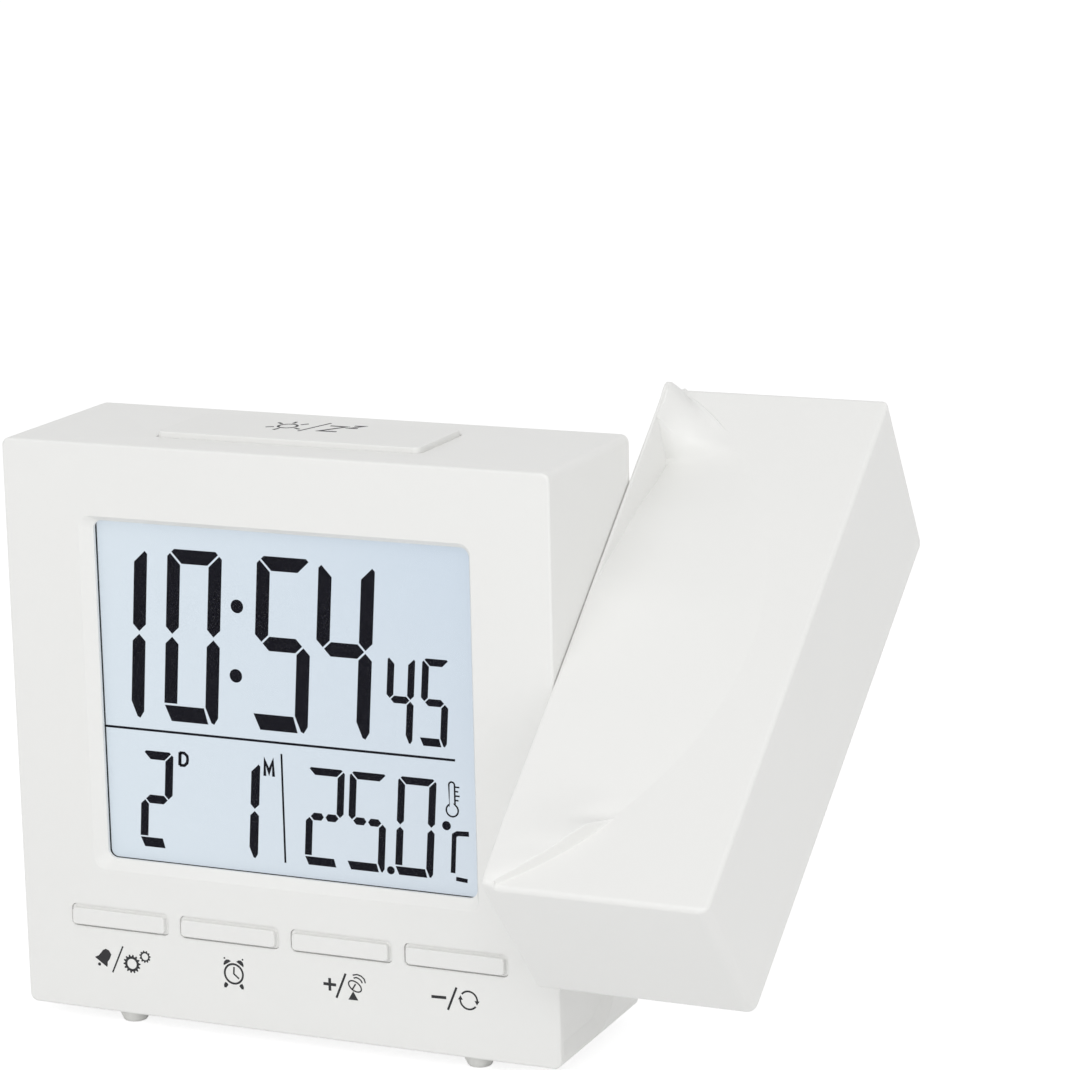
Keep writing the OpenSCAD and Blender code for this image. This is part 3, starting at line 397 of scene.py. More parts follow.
# Painted highlight: lighter edges, from how sharply the surface turns
edgeTurn = {"from": 0.5, "full": 0.62}
edgeHighlightGroup, edgeIn, edgeOut = newGroup(
    "paintedEdgeHighlight",
    [("Colour", "NodeSocketColor", (0.8, 0.8, 0.8, 1)), ("Highlight Colour", "NodeSocketColor", (0.9, 0.9, 0.9, 1)),
     ("Amount", "NodeSocketFloat", 0.3)],
    [("Colour", "NodeSocketColor")])
turning = edgeHighlightGroup.nodes.new("ShaderNodeNewGeometry")
edgeShine = rangeNode(edgeHighlightGroup, turning.outputs["Pointiness"], edgeTurn["from"], edgeTurn["full"])
edgeShine = mathNode(edgeHighlightGroup, "MULTIPLY", edgeShine, edgeIn.outputs["Amount"])
edgeHighlightGroup.links.new(mixColor(edgeHighlightGroup, edgeShine, edgeIn.outputs["Colour"], edgeIn.outputs["Highlight Colour"]),
                    edgeOut.inputs["Colour"])

# Fine lines along one direction, for drawn wire, turned metal and brushed sheet
lineGroup, lineIn, lineOut = newGroup(
    "drawnLines",
    [("Stretch", "NodeSocketVector", (40.0, 1500.0, 1500.0)), ("Roughness", "NodeSocketFloat", 0.3),
     ("Roughness Spread", "NodeSocketFloat", 0.2)],
    [("Roughness", "NodeSocketFloat"), ("Height", "NodeSocketFloat")])
lineSpot = lineGroup.nodes.new("ShaderNodeTexCoord")
stretched = lineGroup.nodes.new("ShaderNodeVectorMath")
stretched.operation = "MULTIPLY"
lineGroup.links.new(lineSpot.outputs["Object"], stretched.inputs[0])
lineGroup.links.new(lineIn.outputs["Stretch"], stretched.inputs[1])
lines = noiseNode(lineGroup, stretched.outputs[0], 1.0, 3.0)
lineGroup.links.new(spreadRoughness(lineGroup, lineIn, lines), lineOut.inputs["Roughness"])
lineGroup.links.new(lines, lineOut.inputs["Height"])


def linear(colour):  # sRGB from 0 to 255, made linear
    out = []
    for part in colour:
        part = part / 255
        out.append(part / 12.92 if part <= 0.04045 else ((part + 0.055) / 1.055) ** 2.4)
    return tuple(out) + (1,)


def darker(colour, share):
    return [part * share for part in colour]


def newFinish(name):
    material = bpy.data.materials.new(name)
    material.use_nodes = True
    tree = material.node_tree
    return material, tree, tree.nodes["Principled BSDF"]


def placeGroup(tree, group, values):
    node = tree.nodes.new("ShaderNodeGroup")
    node.node_tree = group
    for key, value in values.items():
        if isinstance(value, bpy.types.NodeSocket):
            tree.links.new(value, node.inputs[key])
        else:
            node.inputs[key].default_value = value
    return node


def bumpFrom(tree, height, strength, distance, shader):
    bump = tree.nodes.new("ShaderNodeBump")
    bump.inputs["Strength"].default_value = strength
    bump.inputs["Distance"].default_value = distance
    tree.links.new(height, bump.inputs["Height"])
    tree.links.new(bump.outputs[0], shader.inputs["Normal"])


grainDepth, lineDepth = 0.00002, 0.00001  # metres


def mouldedPlastic(name, colour, deep, rough, spread=0.08, grain=3000.0, bump=0.1, edge=None,
                   highlightAmount=0.0, specular=0.5, coat=0.0):
    material, tree, shader = newFinish(name)
    grained = placeGroup(tree, grainGroup, {
        "Colour": linear(colour), "Deep Colour": linear(deep), "Roughness": rough, "Roughness Spread": spread,
        "Grain Scale": grain})
    surface = grained.outputs["Colour"]
    # edge: colour of a painted highlight laid along sharply turning edges
    if edge:
        highlighted = placeGroup(tree, edgeHighlightGroup, {
            "Colour": surface, "Highlight Colour": linear(edge), "Amount": highlightAmount})
        surface = highlighted.outputs["Colour"]
    tree.links.new(surface, shader.inputs["Base Color"])
    tree.links.new(grained.outputs["Roughness"], shader.inputs["Roughness"])
    shader.inputs["Specular IOR Level"].default_value = specular
    shader.inputs["Coat Weight"].default_value = coat
    bumpFrom(tree, grained.outputs["Height"], bump, grainDepth, shader)
    return material


def drawnMetal(name, colour, rough, spread=0.2, stretch=(40.0, 1500.0, 1500.0), bump=0.15):
    material, tree, shader = newFinish(name)
    shader.inputs["Metallic"].default_value = 1
    drawn = placeGroup(tree, lineGroup, {"Stretch": stretch, "Roughness": rough, "Roughness Spread": spread})
    grained = placeGroup(tree, grainGroup, {
        "Colour": linear(colour), "Deep Colour": linear(darker(colour, 0.9))})
    tree.links.new(grained.outputs["Colour"], shader.inputs["Base Color"])
    tree.links.new(drawn.outputs["Roughness"], shader.inputs["Roughness"])
    bumpFrom(tree, drawn.outputs["Height"], bump, lineDepth, shader)
    return material


def clearPlastic(name, alpha, rough, colour):
    material, tree, shader = newFinish(name)
    grained = placeGroup(tree, grainGroup, {
        "Colour": linear(colour), "Deep Colour": linear(darker(colour, 0.97)), "Roughness": rough,
        "Roughness Spread": 0.04})
    tree.links.new(grained.outputs["Colour"], shader.inputs["Base Color"])
    tree.links.new(grained.outputs["Roughness"], shader.inputs["Roughness"])
    shader.inputs["Alpha"].default_value = alpha
    material.surface_render_method = "BLENDED"
    return material


# Colour and amount of the painted highlight on the edges of the white parts
whiteHighlight = {"edge": (252, 252, 251), "highlightAmount": 0.08}
finishes = {
    "case_white": mouldedPlastic("caseWhite", (240, 240, 238), (237, 237, 235), 0.42, 0.06, bump=0.12,
                               **whiteHighlight),
    "arm_white": mouldedPlastic("armWhite", (241, 241, 239), (238, 238, 236), 0.38, 0.06, bump=0.1,
                              **whiteHighlight),
    "button_white": mouldedPlastic("buttonWhite", (240, 240, 238), (236, 236, 234), 0.45, 0.06, bump=0.14,
                                   **whiteHighlight),
    "foot_rubber": mouldedPlastic("footRubber", (234, 234, 231), (226, 226, 223), 0.75, 0.1, 1800.0, 0.3,
                                 specular=0.3),
    "contact_rubber": mouldedPlastic("contactRubber", (52, 52, 56), (36, 36, 40), 0.7, 0.1, 1500.0, 0.3,
                                    specular=0.3),
    "black_plastic": mouldedPlastic("blackPlastic", (40, 41, 44), (30, 31, 34), 0.45, 0.1, 2200.0, 0.25),
    "bush_plastic": mouldedPlastic("bushPlastic", (226, 224, 214), (214, 212, 202), 0.4, 0.08, 2500.0, 0.15),
    "circuit_green": mouldedPlastic("circuitGreen", (44, 104, 68), (32, 86, 54), 0.38, 0.1, 1200.0, 0.3,
                                   coat=0.4),
    "ferrite": mouldedPlastic("ferrite", (58, 56, 56), (42, 40, 40), 0.6, 0.15, 900.0, 0.5),
    "cell_wrap": mouldedPlastic("cellWrap", (196, 132, 60), (172, 110, 44), 0.25, 0.05, 800.0, 0.05, coat=0.5),
    "steel": drawnMetal("steel", (190, 192, 196), 0.3),
    "copper_wire": drawnMetal("copperWire", (204, 120, 74), 0.35, stretch=(2200.0, 120.0, 120.0)),
    "beeper_brass": drawnMetal("beeperBrass", (208, 176, 96), 0.32, stretch=(400.0, 400.0, 1200.0)),
    "clear_acrylic": clearPlastic("clearAcrylic", 0.025, 0.08, (40, 42, 46)),
    "lens_glass": clearPlastic("lensGlass", 0.35, 0.04, (225, 238, 250)),
}


screenSpan = {"low": (-29, 0, 24), "high": (31, 0, 76)}  # the colour changes from corner to corner


def screenFinish(name, upper, lower, left, paintedGlow):  # a glowing screen: pale, a little lighter to one side; the glow is painted light, standing in for the light through the window and filling the shade in its recess
    material, tree, shader = newFinish(name)
    spot = tree.nodes.new("ShaderNodeNewGeometry")
    parts = tree.nodes.new("ShaderNodeSeparateXYZ")
    tree.links.new(spot.outputs["Position"], parts.inputs[0])
    low, high = metres(screenSpan["low"]), metres(screenSpan["high"])
    across = rangeNode(tree, parts.outputs["X"], low[0], high[0])
    upward = rangeNode(tree, parts.outputs["Z"], low[2], high[2])
    vertical = mixColor(tree, upward, linear(lower), linear(upper))
    both = mixColor(tree, across, linear(left), vertical)
    grained = placeGroup(tree, grainGroup, {"Colour": (1, 1, 1, 1), "Deep Colour": linear((250, 251, 252)),
                                            "Roughness": 0.3, "Roughness Spread": 0.05})
    tint = mixColor(tree, 1, both, grained.outputs["Colour"], "MULTIPLY")
    # base colour darkened, with the glow as painted light in its place
    dull = mixColor(tree, 1, tint, (0.35, 0.35, 0.35, 1), "MULTIPLY")
    tree.links.new(dull, shader.inputs["Base Color"])
    tree.links.new(tint, shader.inputs["Emission Color"])
    tree.links.new(grained.outputs["Roughness"], shader.inputs["Roughness"])
    shader.inputs["Emission Strength"].default_value = paintedGlow
    shader.inputs["Specular IOR Level"].default_value = 0.2
    return material


# Screen glow: painted light in place of light reaching it through the window
finishes["display_glass"] = screenFinish("displayGlass", (207, 219, 231), (212, 221, 230),
                                         (218, 228, 236), 0.74)
digitInk = mouldedPlastic("digitInk", (22, 22, 31), (12, 12, 20), 0.45, 0.05, 1500.0, 0.02, specular=0.08)
printInk = mouldedPlastic("printInk", (56, 56, 58), (44, 44, 46), 0.6, 0.05, 2500.0, 0.1, specular=0.25)
print("finishes ready")


def dress(obj, body, slot, replaced=(), finish=None):
    obj.data.materials.clear()
    obj.data.materials.append(finish or finishes[slot])
    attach(obj, body)
    if replaced:
        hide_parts(*replaced)
    return obj


# Case: a flat box open at the back, with the screen's frame, the button holes and the bar's opening
case = {
    "left": -43.0, "right": 43.0, "front": -14.5, "back": 14.5, "low": underside, "high": 86.7,
    "corner": 1.2, "cornerEase": 0.6, "frontRound": 0.4, "backRound": 0.3,
    "wall": 2.0, "frontWall": 2.2, "innerCorner": 0.8,
    "pivotHole": (1.5, 48.0, 6.45), "pivotDeep": 4,
}
screenFrame = {
    "outer": (-30.8, 30.9, 23.1, 76.0, 1.7),
    "inner": (-28.9, 30.4, 24.7, 75.3, 1.4),
    "chamferDeep": 0.85, "lip": 0.12, "lipTurn": 45, "lipSink": 0.7, "lipDeep": 1.3,
    "pocket": (-29.6, 31.6, 23.8, 76.4, 0.9), "pocketDeep": 3,
}
buttonRow = {
    "middle": 15.62, "height": 3.35, "width": 16.1, "corner": 0.75, "lip": 0.1, "gap": 0.08, "sunk": 0.3,
    "centres": (-27.02, -8.98, 9.07, 27.12), "rise": 0.6, "capInset": 0.36, "capRound": 0.16, "holeDeep": 4,
    "capCorner": 0.55, "footCorner": 0.6, "footGrow": 0.1, "footHigh": 0.12,
    "flange": (0.6, 0.7, 0.6),  # past the cap in x and in z, corner
    "stem": (3, 0.3, 0.4),  # half width, inside the cap in z, corner
    "levels": {"cap": -12.25, "flangeNear": -12.2, "flangeFar": -11.4, "stemNear": -11.35, "stemFar": -9.8},
    "bodies": ("settings_button", "alarm_button", "plus_button", "minus_button"),
}
topBar = {
    "edges": (-21.7, 20.3, -7.45, 7.55, 1.2),  # x0, x1, y0, y1, corner
    "gap": 0.06, "rise": 0.8, "edge": 0.2, "inset": 0.2, "sunk": 0.2, "stepHigh": 0.1,
    "holeDeep": 4, "mouth": 0.2, "mouthDeep": 0.15, "mouthHigh": 0.05,
    "stem": (18, 5.5, 1.0),  # inside the bar in x and in y, corner
    "flange": (1, 1.2),  # past the bar, corner
    "levels": {"stemLow": 80.2, "stemHigh": 83.4, "flangeLow": 83.45, "flangeHigh": 84.35, "bar": 84.4},
}
sideHollow = {
    "round": 12.4, "y": -4.3, "z": 13.7, "front": -13.3, "low": 2.0, "high": 41.2,
    "depths": ((-1, -0.15), (-0.02, -0.15), (0.1, 0.05), (1.1, 1.95), (1.2, 2.2)),  # depth, how much smaller
}


def caseRings():
    rings = []
    for radius, y, sign in ((case["frontRound"], case["front"], 1), (case["backRound"], case["back"], -1)):
        part = []
        for a in quarterTurn(6):
            inset = radius * (1 - math.sin(a))
            part.append((y + sign * radius * (1 - math.cos(a)), case["left"] + inset, case["right"] - inset,
                         case["low"] + inset, case["high"] - inset,
                         case["corner"] - inset * case["cornerEase"]))
        rings += part if sign > 0 else part[::-1]
    return rings


def roomRing(y):  # outline of the room inside the case
    wall = case["wall"]
    return (y, case["left"] + wall, case["right"] - wall, case["low"] + wall, case["high"] - wall,
            case["innerCorner"])


def buttonEdges(centre):
    halfWide, halfHigh, middle = buttonRow["width"] / 2, buttonRow["height"] / 2, buttonRow["middle"]
    return (centre - halfWide, centre + halfWide, middle - halfHigh, middle + halfHigh, buttonRow["corner"])


housing = makePiece("housing", stackY(caseRings()))
cavity = stackY([roomRing(case["front"] + case["frontWall"]), roomRing(case["back"] + past)])

frontY, lip = case["front"], screenFrame["lip"]
screenRings = [(frontY - past, *grown(screenFrame["outer"], lip))]
for k in range(4):
    a = math.radians(screenFrame["lipTurn"] * k / 3)
    grow = lip * (1 - math.sin(a) / math.sin(math.radians(screenFrame["lipTurn"])))
    sunk = lip * (1 - math.cos(a)) * screenFrame["lipSink"]
    screenRings.append((frontY + sunk, *grown(screenFrame["outer"], grow)))
for deep in ("chamferDeep", "lipDeep", "pocketDeep"):
    screenRings.append((frontY + screenFrame[deep], *screenFrame["inner"]))
pocketRings = [(frontY + screenFrame[deep], *screenFrame["pocket"]) for deep in ("lipDeep", "pocketDeep")]

buttonHoles = [lippedHole(frontY, buttonRow["holeDeep"], buttonEdges(centre), buttonRow["lip"])
               for centre in buttonRow["centres"]]

barEdge = grown(topBar["edges"], topBar["gap"])
barHole = stackZ([(case["high"] - topBar["holeDeep"], *barEdge), (case["high"] - topBar["mouthDeep"], *barEdge),
                  (case["high"] + topBar["mouthHigh"], *grown(barEdge, topBar["mouth"]))])
pivotCircle = arcPoints(*case["pivotHole"])
pivotEnds = (case["right"] - case["pivotDeep"], case["right"] + past)
pivotHole = loft([[(x, y, z) for y, z in pivotCircle] for x in pivotEnds])


def hollowRing(deep, smaller):
    r = sideHollow["round"] - smaller
    middleY, middleZ, front = sideHollow["y"], sideHollow["z"], sideHollow["front"] + smaller
    top, bottom = sideHollow["high"] - smaller, sideHollow["low"] + smaller
    lowest = math.asin(max(-1.0, (bottom - middleZ) / r)) if bottom > middleZ - r else -math.pi / 2
    turns = [lowest * (1 - k / 14) for k in range(14)]
    loop = [(middleY + r * math.cos(a), middleZ + r * math.sin(a)) for a in turns]
    loop += [(middleY + r, middleZ + (top - middleZ) * k / 4) for k in range(5)]
    loop += [(front, top - (top - bottom) * k / 8) for k in range(9)]
    return [(case["right"] - deep, y, z) for y, z in loop]


hollow = loft([hollowRing(*depth) for depth in sideHollow["depths"]])
carve(housing, [cavity, stackY(screenRings), stackY(pocketRings), joinShapes(buttonHoles), barHole, pivotHole,
                hollow])
dress(housing, "case", "case_white", ("front_housing",))
print("case ready")

# Screen window: a stepped clear plate whose raised middle stands in the frame with a thin gap round it
windowPlate = {
    "gap": 0.17, "front": -13.62, "step": -13.15, "stepDeep": 0.01, "back": -12.4, "soft": 0.06,
    "flange": (-29.45, 31.45, 23.95, 76.25, 0.7),
}
raised = grown(screenFrame["inner"], -windowPlate["gap"])
windowRings = [(windowPlate["front"], *grown(raised, -windowPlate["soft"])),
               (windowPlate["front"] + windowPlate["soft"], *raised), (windowPlate["step"], *raised),
               (windowPlate["step"] + windowPlate["stepDeep"], *windowPlate["flange"]),
               (windowPlate["back"], *windowPlate["flange"])]
dress(makePiece("screenWindow", stackY(windowRings)), "case", "clear_acrylic", ("lcd_window",))

# Dark band behind the window, painted shade: a thin dark line along two sides of the screen, where the gap
# between window and frame lies in shadow
paintedShadeFrame = {
    "outer": (-29.3, 31.3, 24.1, 76.1, 0.8), "inner": (-29.13, 30.5, 24.52, 75.5, 1.1),
    "near": -12.38, "far": -12.22,
}
paintedShadeBand = bandY(roundedLoop(*paintedShadeFrame["outer"]), roundedLoop(*paintedShadeFrame["inner"]), paintedShadeFrame["near"], paintedShadeFrame["far"])
dress(makePiece("screenPaintedShade", paintedShadeBand), "case", "black_plastic")

# Digits and lines of the screen, cut from thin flat ink
display = {"plane": -12.2, "thick": 0.03, "float": 0.002, "slant": 0.07, "shift": (-0.15, 0.15)}


def shrink(outline, inset):
    area = sum(p[0] * q[1] - q[0] * p[1] for p, q in zip(outline, outline[1:] + outline[:1]))
    turn = 1 if area > 0 else -1
    out, count = [], len(outline)
    for i in range(count):
        p, q, r = outline[i - 1], outline[i], outline[(i + 1) % count]
        d0 = Vector((q[0] - p[0], q[1] - p[1])).normalized()
        d1 = Vector((r[0] - q[0], r[1] - q[1])).normalized()
        n0, n1 = Vector((-d0.y, d0.x)) * turn, Vector((-d1.y, d1.x)) * turn
        m = n0 + n1
        m = m * (inset / max(m.dot(n0), 0.2))
        out.append((q[0] + m.x, q[1] + m.y))
    return out


def segments(width, height, stroke, gap, split=False):  # w, h: outer size, s: stroke, c: chamfer, m: mid height
    w, h, s = width + gap, height + gap, stroke + gap
    c, m = s * 0.48, h / 2
    foot, cut = s * 1.1, s * 0.55
    up, down = m + s / 2, m - s / 2
    shapes = {
        "a": [(c / 2, h - c / 2), (c, h), (w - c, h), (w - c / 2, h - c / 2), (w - s, h - s), (s, h - s)],
        "f": [(0, h - c), (c / 2, h - c / 2), (s, h - s), (s, up), (s / 2, m), (0, up)],
        "b": [(w, h - c), (w, up), (w - s / 2, m), (w - s, up), (w - s, h - s), (w - c / 2, h - c / 2)],
        "e": [(0, foot), (0, down), (s / 2, m), (s, down), (s, foot)],
        "c": [(w - s, foot), (w - s, down), (w - s / 2, m), (w, down), (w, c), (w - c * 0.6, 0.0),
              (w - cut, 0.12 * s)],
        "d": [(0, foot), (w - s, foot), (w - cut * 1.15, 0), (cut, 0)],
        "g": [(s / 2, m), (s, up), (w - s, up), (w - s / 2, m), (w - s, down), (s, down)],
    }
    if split:
        middle, half = w / 2, s * 0.36
        shapes["g"] = [(s * 0.55, m), (s, up), (middle - half, up), (middle, m), (middle - half, down),
                       (s, down)]
        shapes["h"] = [(middle, m), (middle + half, up), (w - s, up), (w - s * 0.55, m), (w - s, down),
                       (middle + half, down)]
    inset = gap / 2
    return {key: [(x - inset, z - inset) for x, z in shrink(shape, inset)] for key, shape in shapes.items()}


digitParts = {"0": "abcdef", "1": "bc", "2": "abged", "4": "fgbc", "5": "afgcd"}
digitRows = [  # glyph, left edge at mid height, middle height, width, height, stroke, gap, split middle
    ("1", -30.5, 58.6, 8.8, 25.6, 2.1, 0.3, False), ("0", -18.4, 58.6, 8.8, 25.6, 2.1, 0.3, False),
    ("5", -4.0, 58.6, 8.8, 25.6, 2.1, 0.3, False), ("4", 5.75, 58.6, 8.8, 25.6, 2.1, 0.3, False),
    ("4", 16.55, 52.15, 4.25, 12.7, 1.05, 0.2, False), ("5", 21.9, 52.15, 4.25, 12.7, 1.05, 0.2, False),
    ("2", -23.65, 33.7, 5.15, 14.6, 1.28, 0.22, False), ("1", -9.5, 33.7, 5.15, 14.6, 1.4, 0.22, False),
    ("2", 3.2, 33.7, 5.95, 14.6, 1.1, 0.22, True), ("5", 9.95, 33.7, 5.95, 14.6, 1.1, 0.22, True),
    ("0", 17.55, 33.7, 5.95, 14.6, 1.1, 0.22, False),
]


inkFront, inkBack = display["plane"] - display["thick"], display["plane"] - display["float"]


def onScreen(outline):
    return prismY([(x + display["shift"][0], z + display["shift"][1]) for x, z in outline], inkFront, inkBack)


inkShapes = []
for glyph, left, middle, width, height, stroke, gap, split in digitRows:
    shapes = segments(width, height, stroke, gap, split)
    low = middle - height / 2
    for part in digitParts[glyph] + ("h" if split else ""):
        slanted = [(left + x + display["slant"] * (z - height / 2), low + z) for x, z in shapes[part]]
        inkShapes.append(onScreen(slanted))
for dot in ((-6.65, 63.7, 1.0), (-7.26, 53.44, 1.0), (16.42, 26.91, 0.6), (25.34, 34.42, 0.67)):
    inkShapes.append(onScreen(arcPoints(*dot, steps=32)))
inkLines = [  # points, width
    ([(-28.97, 44.1), (26.95, 44.1)], 0.35), ([(-0.4, 26.25), (-0.4, 42.5)], 0.3),
    ([(28.78, 33.5), (27.0, 33.42), (26.5, 33.1), (26.16, 27.55)], 0.72),
    ([(26.62, 26.74), (28.39, 26.58)], 0.6),
    ([(-17.02, 39.24), (-16.9, 41.2)], 0.52),
    ([(-16.95, 41.14), (-16.2, 41.14), (-15.75, 40.75), (-15.7, 40.2), (-15.8, 39.7), (-16.25, 39.28),
      (-17.05, 39.26)], 0.44),
    ([(-3.2, 38.98), (-3.12, 41.2), (-2.5, 39.6), (-1.84, 41.2), (-1.8, 38.98)], 0.46),
    ([(26.65, 40.2), (27.5, 40.2)], 0.22), ([(26.65, 39.55), (27.3, 39.55)], 0.22),
    ([(26.65, 38.9), (27.5, 38.9)], 0.22), ([(26.65, 38.25), (27.3, 38.25)], 0.22),
]
for points, width in inkLines:
    inkShapes.append(onScreen(strokeLine(points, width)))
bulb = [(26.6, 37.7), (26.6, 40.6)] + arcPoints(26.16, 40.6, 0.44, 0, 180, 8) + [(25.72, 37.7)]
bulb += arcPoints(26.15, 36.9, 0.92, 118, 304, 26)
inkShapes.append(bandY(sideStep(bulb, 0.12, True), sideStep(bulb, -0.12, True), inkFront, inkBack))
dress(makePiece("screenInk", joinShapes(inkShapes), smooth=False), "case", "display_glass", finish=digitInk)
print("screen ready")

# Buttons: softly rounded caps on flanged stems
face, ledge = case["front"] - buttonRow["rise"], case["front"] + buttonRow["sunk"]
inset, capRound, capCorner = buttonRow["capInset"], buttonRow["capRound"], buttonRow["capCorner"]
sideGrow, endGrow, flangeCorner = buttonRow["flange"]
stemHalf, stemInset, stemCorner = buttonRow["stem"]
levels = buttonRow["levels"]
for centre, body in zip(buttonRow["centres"], buttonRow["bodies"]):
    cap = grown(buttonEdges(centre), -buttonRow["gap"])
    x0, x1, z0, z1 = cap[:4]
    rings = []
    for a in quarterTurn(5):
        grow = inset + capRound * (1 - math.sin(a))
        rings.append((face + capRound * (1 - math.cos(a)), *grown(cap, -grow, capCorner - grow + inset)))
    flange = (x0 - sideGrow, x1 + sideGrow, z0 - endGrow, z1 + endGrow, flangeCorner)
    stem = (centre - stemHalf, centre + stemHalf, z0 + stemInset, z1 - stemInset, stemCorner)
    rings += [(ledge - buttonRow["footHigh"], *grown(cap, -inset, capCorner)),
              (ledge, *grown(cap, buttonRow["footGrow"] - inset, buttonRow["footCorner"])), (ledge, *cap),
              (levels["cap"], *cap), (levels["flangeNear"], *flange), (levels["flangeFar"], *flange),
              (levels["stemNear"], *stem), (levels["stemFar"], *stem)]
    dress(makePiece(body + "Cap", stackY(rings)), body, "button_white", (body,))

# Bar on the top, with a bright thin edge all round
top = case["high"] + topBar["rise"]
ledge = case["high"] - topBar["sunk"]
wide = topBar["edges"]
narrow = grown(wide, -topBar["inset"])
stemX, stemY, stemCorner = topBar["stem"]
stem = (wide[0] + stemX, wide[1] - stemX, wide[2] + stemY, wide[3] - stemY, stemCorner)
flange = grown(wide, *topBar["flange"])
levels = topBar["levels"]
rings = [(levels["stemLow"], *stem), (levels["stemHigh"], *stem), (levels["flangeLow"], *flange),
         (levels["flangeHigh"], *flange), (levels["bar"], *wide), (ledge - topBar["stepHigh"], *wide),
         (ledge, *wide), (ledge, *narrow), (ledge + topBar["stepHigh"], *narrow)]
for a in quarterTurn(5):
    edge = topBar["edge"] * (1 - math.cos(a))
    rings.append((top - topBar["edge"] * (1 - math.sin(a)), *grown(narrow, -edge)))
dress(makePiece("topBar", stackZ(rings)), "snooze_bar", "button_white", ("snooze_bar",))

# Signs printed beside the buttons and on the bar
signs = {"thick": 0.02, "rooted": 0.01, "gearValley": 0.8}
signFront, signBack = case["front"] - signs["thick"], case["front"] + signs["rooted"]
signLow, signHigh = top - signs["rooted"], top + signs["thick"]


def onFront(outline):
    return prismY(outline, signFront, signBack)


def frontLine(points, width):
    return onFront(strokeLine(points, width))


def closedStroke(points, width):
    return bandY(sideStep(points, width / 2, True), sideStep(points, -width / 2, True), signFront, signBack)


def gear(cx, cz, outer, inner, teeth):
    rim, hole = [], []
    for k in range(teeth * 4):
        a = 2 * math.pi * k / (teeth * 4)
        r = outer if k % 4 in (0, 1) else outer * signs["gearValley"]
        rim.append((cx + r * math.cos(a), cz + r * math.sin(a)))
        hole.append((cx + inner * math.cos(a), cz + inner * math.sin(a)))
    return bandY(rim, hole, signFront, signBack)


# Left of all a bell with two gears
bell = [(-29.63, 10.82), (-29.1, 10.6), (-28.76, 10.0), (-29.05, 9.3), (-29.42, 8.84), (-29.45, 8.3),
        (-29.55, 8.02), (-31.54, 9.35), (-31.25, 9.5), (-30.88, 9.67), (-30.5, 10.1), (-30.15, 10.55)]
frontSigns = [onFront(bell), onFront(arcPoints(-30.82, 8.32, 0.25, steps=16)),
              frontLine([(-26.73, 11.53), (-28.65, 7.29)], 0.24),
              gear(-25.33, 8.98, 1.43, 0.78, 14), gear(-23.1, 10.33, 0.95, 0.53, 11)]

# An alarm clock with two bells and two feet
clockRing = arcPoints(-8.45, 9.43, 1.48, steps=40)
frontSigns += [closedStroke(clockRing, 0.3), frontLine([(-8.38, 10.49), (-8.45, 9.43), (-7.61, 8.77)], 0.24),
               onFront([(-10.04, 10.56), (-8.86, 11.31), (-9.25, 11.52), (-9.62, 11.48), (-9.95, 11.2),
                        (-10.08, 10.85)]),
               onFront([(-7.97, 11.33), (-6.84, 10.62), (-6.8, 10.95), (-6.95, 11.35), (-7.24, 11.59),
                        (-7.6, 11.58)]),
               onFront(arcPoints(-9.9, 11.68, 0.14, steps=12)),
               onFront(arcPoints(-6.94, 11.75, 0.14, steps=12)),
               onFront([(-9.92, 8.04), (-9.52, 7.88), (-9.42, 7.62), (-9.78, 7.18), (-10.1, 7.2),
                        (-10.14, 7.6)]),
               onFront([(-7.12, 8.06), (-7.5, 7.88), (-7.6, 7.62), (-7.24, 7.2), (-6.92, 7.24), (-6.9, 7.62)])]

# Plus, and a dish that sends
frontSigns += [onFront([(7.3, 8.74), (7.3, 9.48), (8.10, 9.48), (8.10, 9.92), (7.3, 9.92), (7.3, 10.63),
                        (6.87, 10.63), (6.87, 9.92), (6.07, 9.92), (6.07, 9.48), (6.87, 9.48), (6.87, 8.74)]),
               frontLine([(9.67, 11.6), (8.09, 7.78)], 0.33),
               frontLine([(11.22, 10.21), (10.62, 9.27)], 0.22),
               onFront([(10.79, 9.08), (9.99, 7.74), (11.56, 7.77)]),
               frontLine([(10.93, 11.08), (11.4, 11.22), (11.78, 11.08), (12.1, 10.85), (12.29, 10.47)], 0.2),
               frontLine([(10.80, 11.50), (11.5, 11.68), (12.12, 11.52), (12.6, 11.12), (12.79, 10.53)], 0.2)]
dishTilt = math.atan2(9.24 - 10.42, 12.11 - 10.12)
dish = []
for k in range(28):
    a = 2 * math.pi * k / 28
    u, v = 1.1 * math.cos(a), 0.68 * math.sin(a)
    dish.append((11.11 + u * math.cos(dishTilt) - v * math.sin(dishTilt),
                 9.85 + u * math.sin(dishTilt) + v * math.cos(dishTilt)))
frontSigns.append(closedStroke(dish, 0.2))

# Minus, and two arrows round a circle
turnRound = (28.98, 9.9, 1.33)
frontSigns += [frontLine([(23.17, 9.80), (25.47, 9.87)], 0.43), frontLine([(27.12, 11.6), (25.7, 8.1)], 0.33),
               frontLine(arcPoints(*turnRound, 142, -142, 20), 0.26),
               frontLine(arcPoints(*turnRound, -38, -142, 20), 0.26),
               onFront([(30.24, 9.30), (29.9, 9.92), (30.66, 9.92)]),
               onFront([(27.71, 10.5), (27.32, 9.88), (28.06, 9.88)])]
dress(makePiece("frontSigns", joinShapes(frontSigns), smooth=False), "case", "case_white", finish=printInk)


def barLine(points, width):
    return prismZ(strokeLine(points, width), signLow, signHigh)


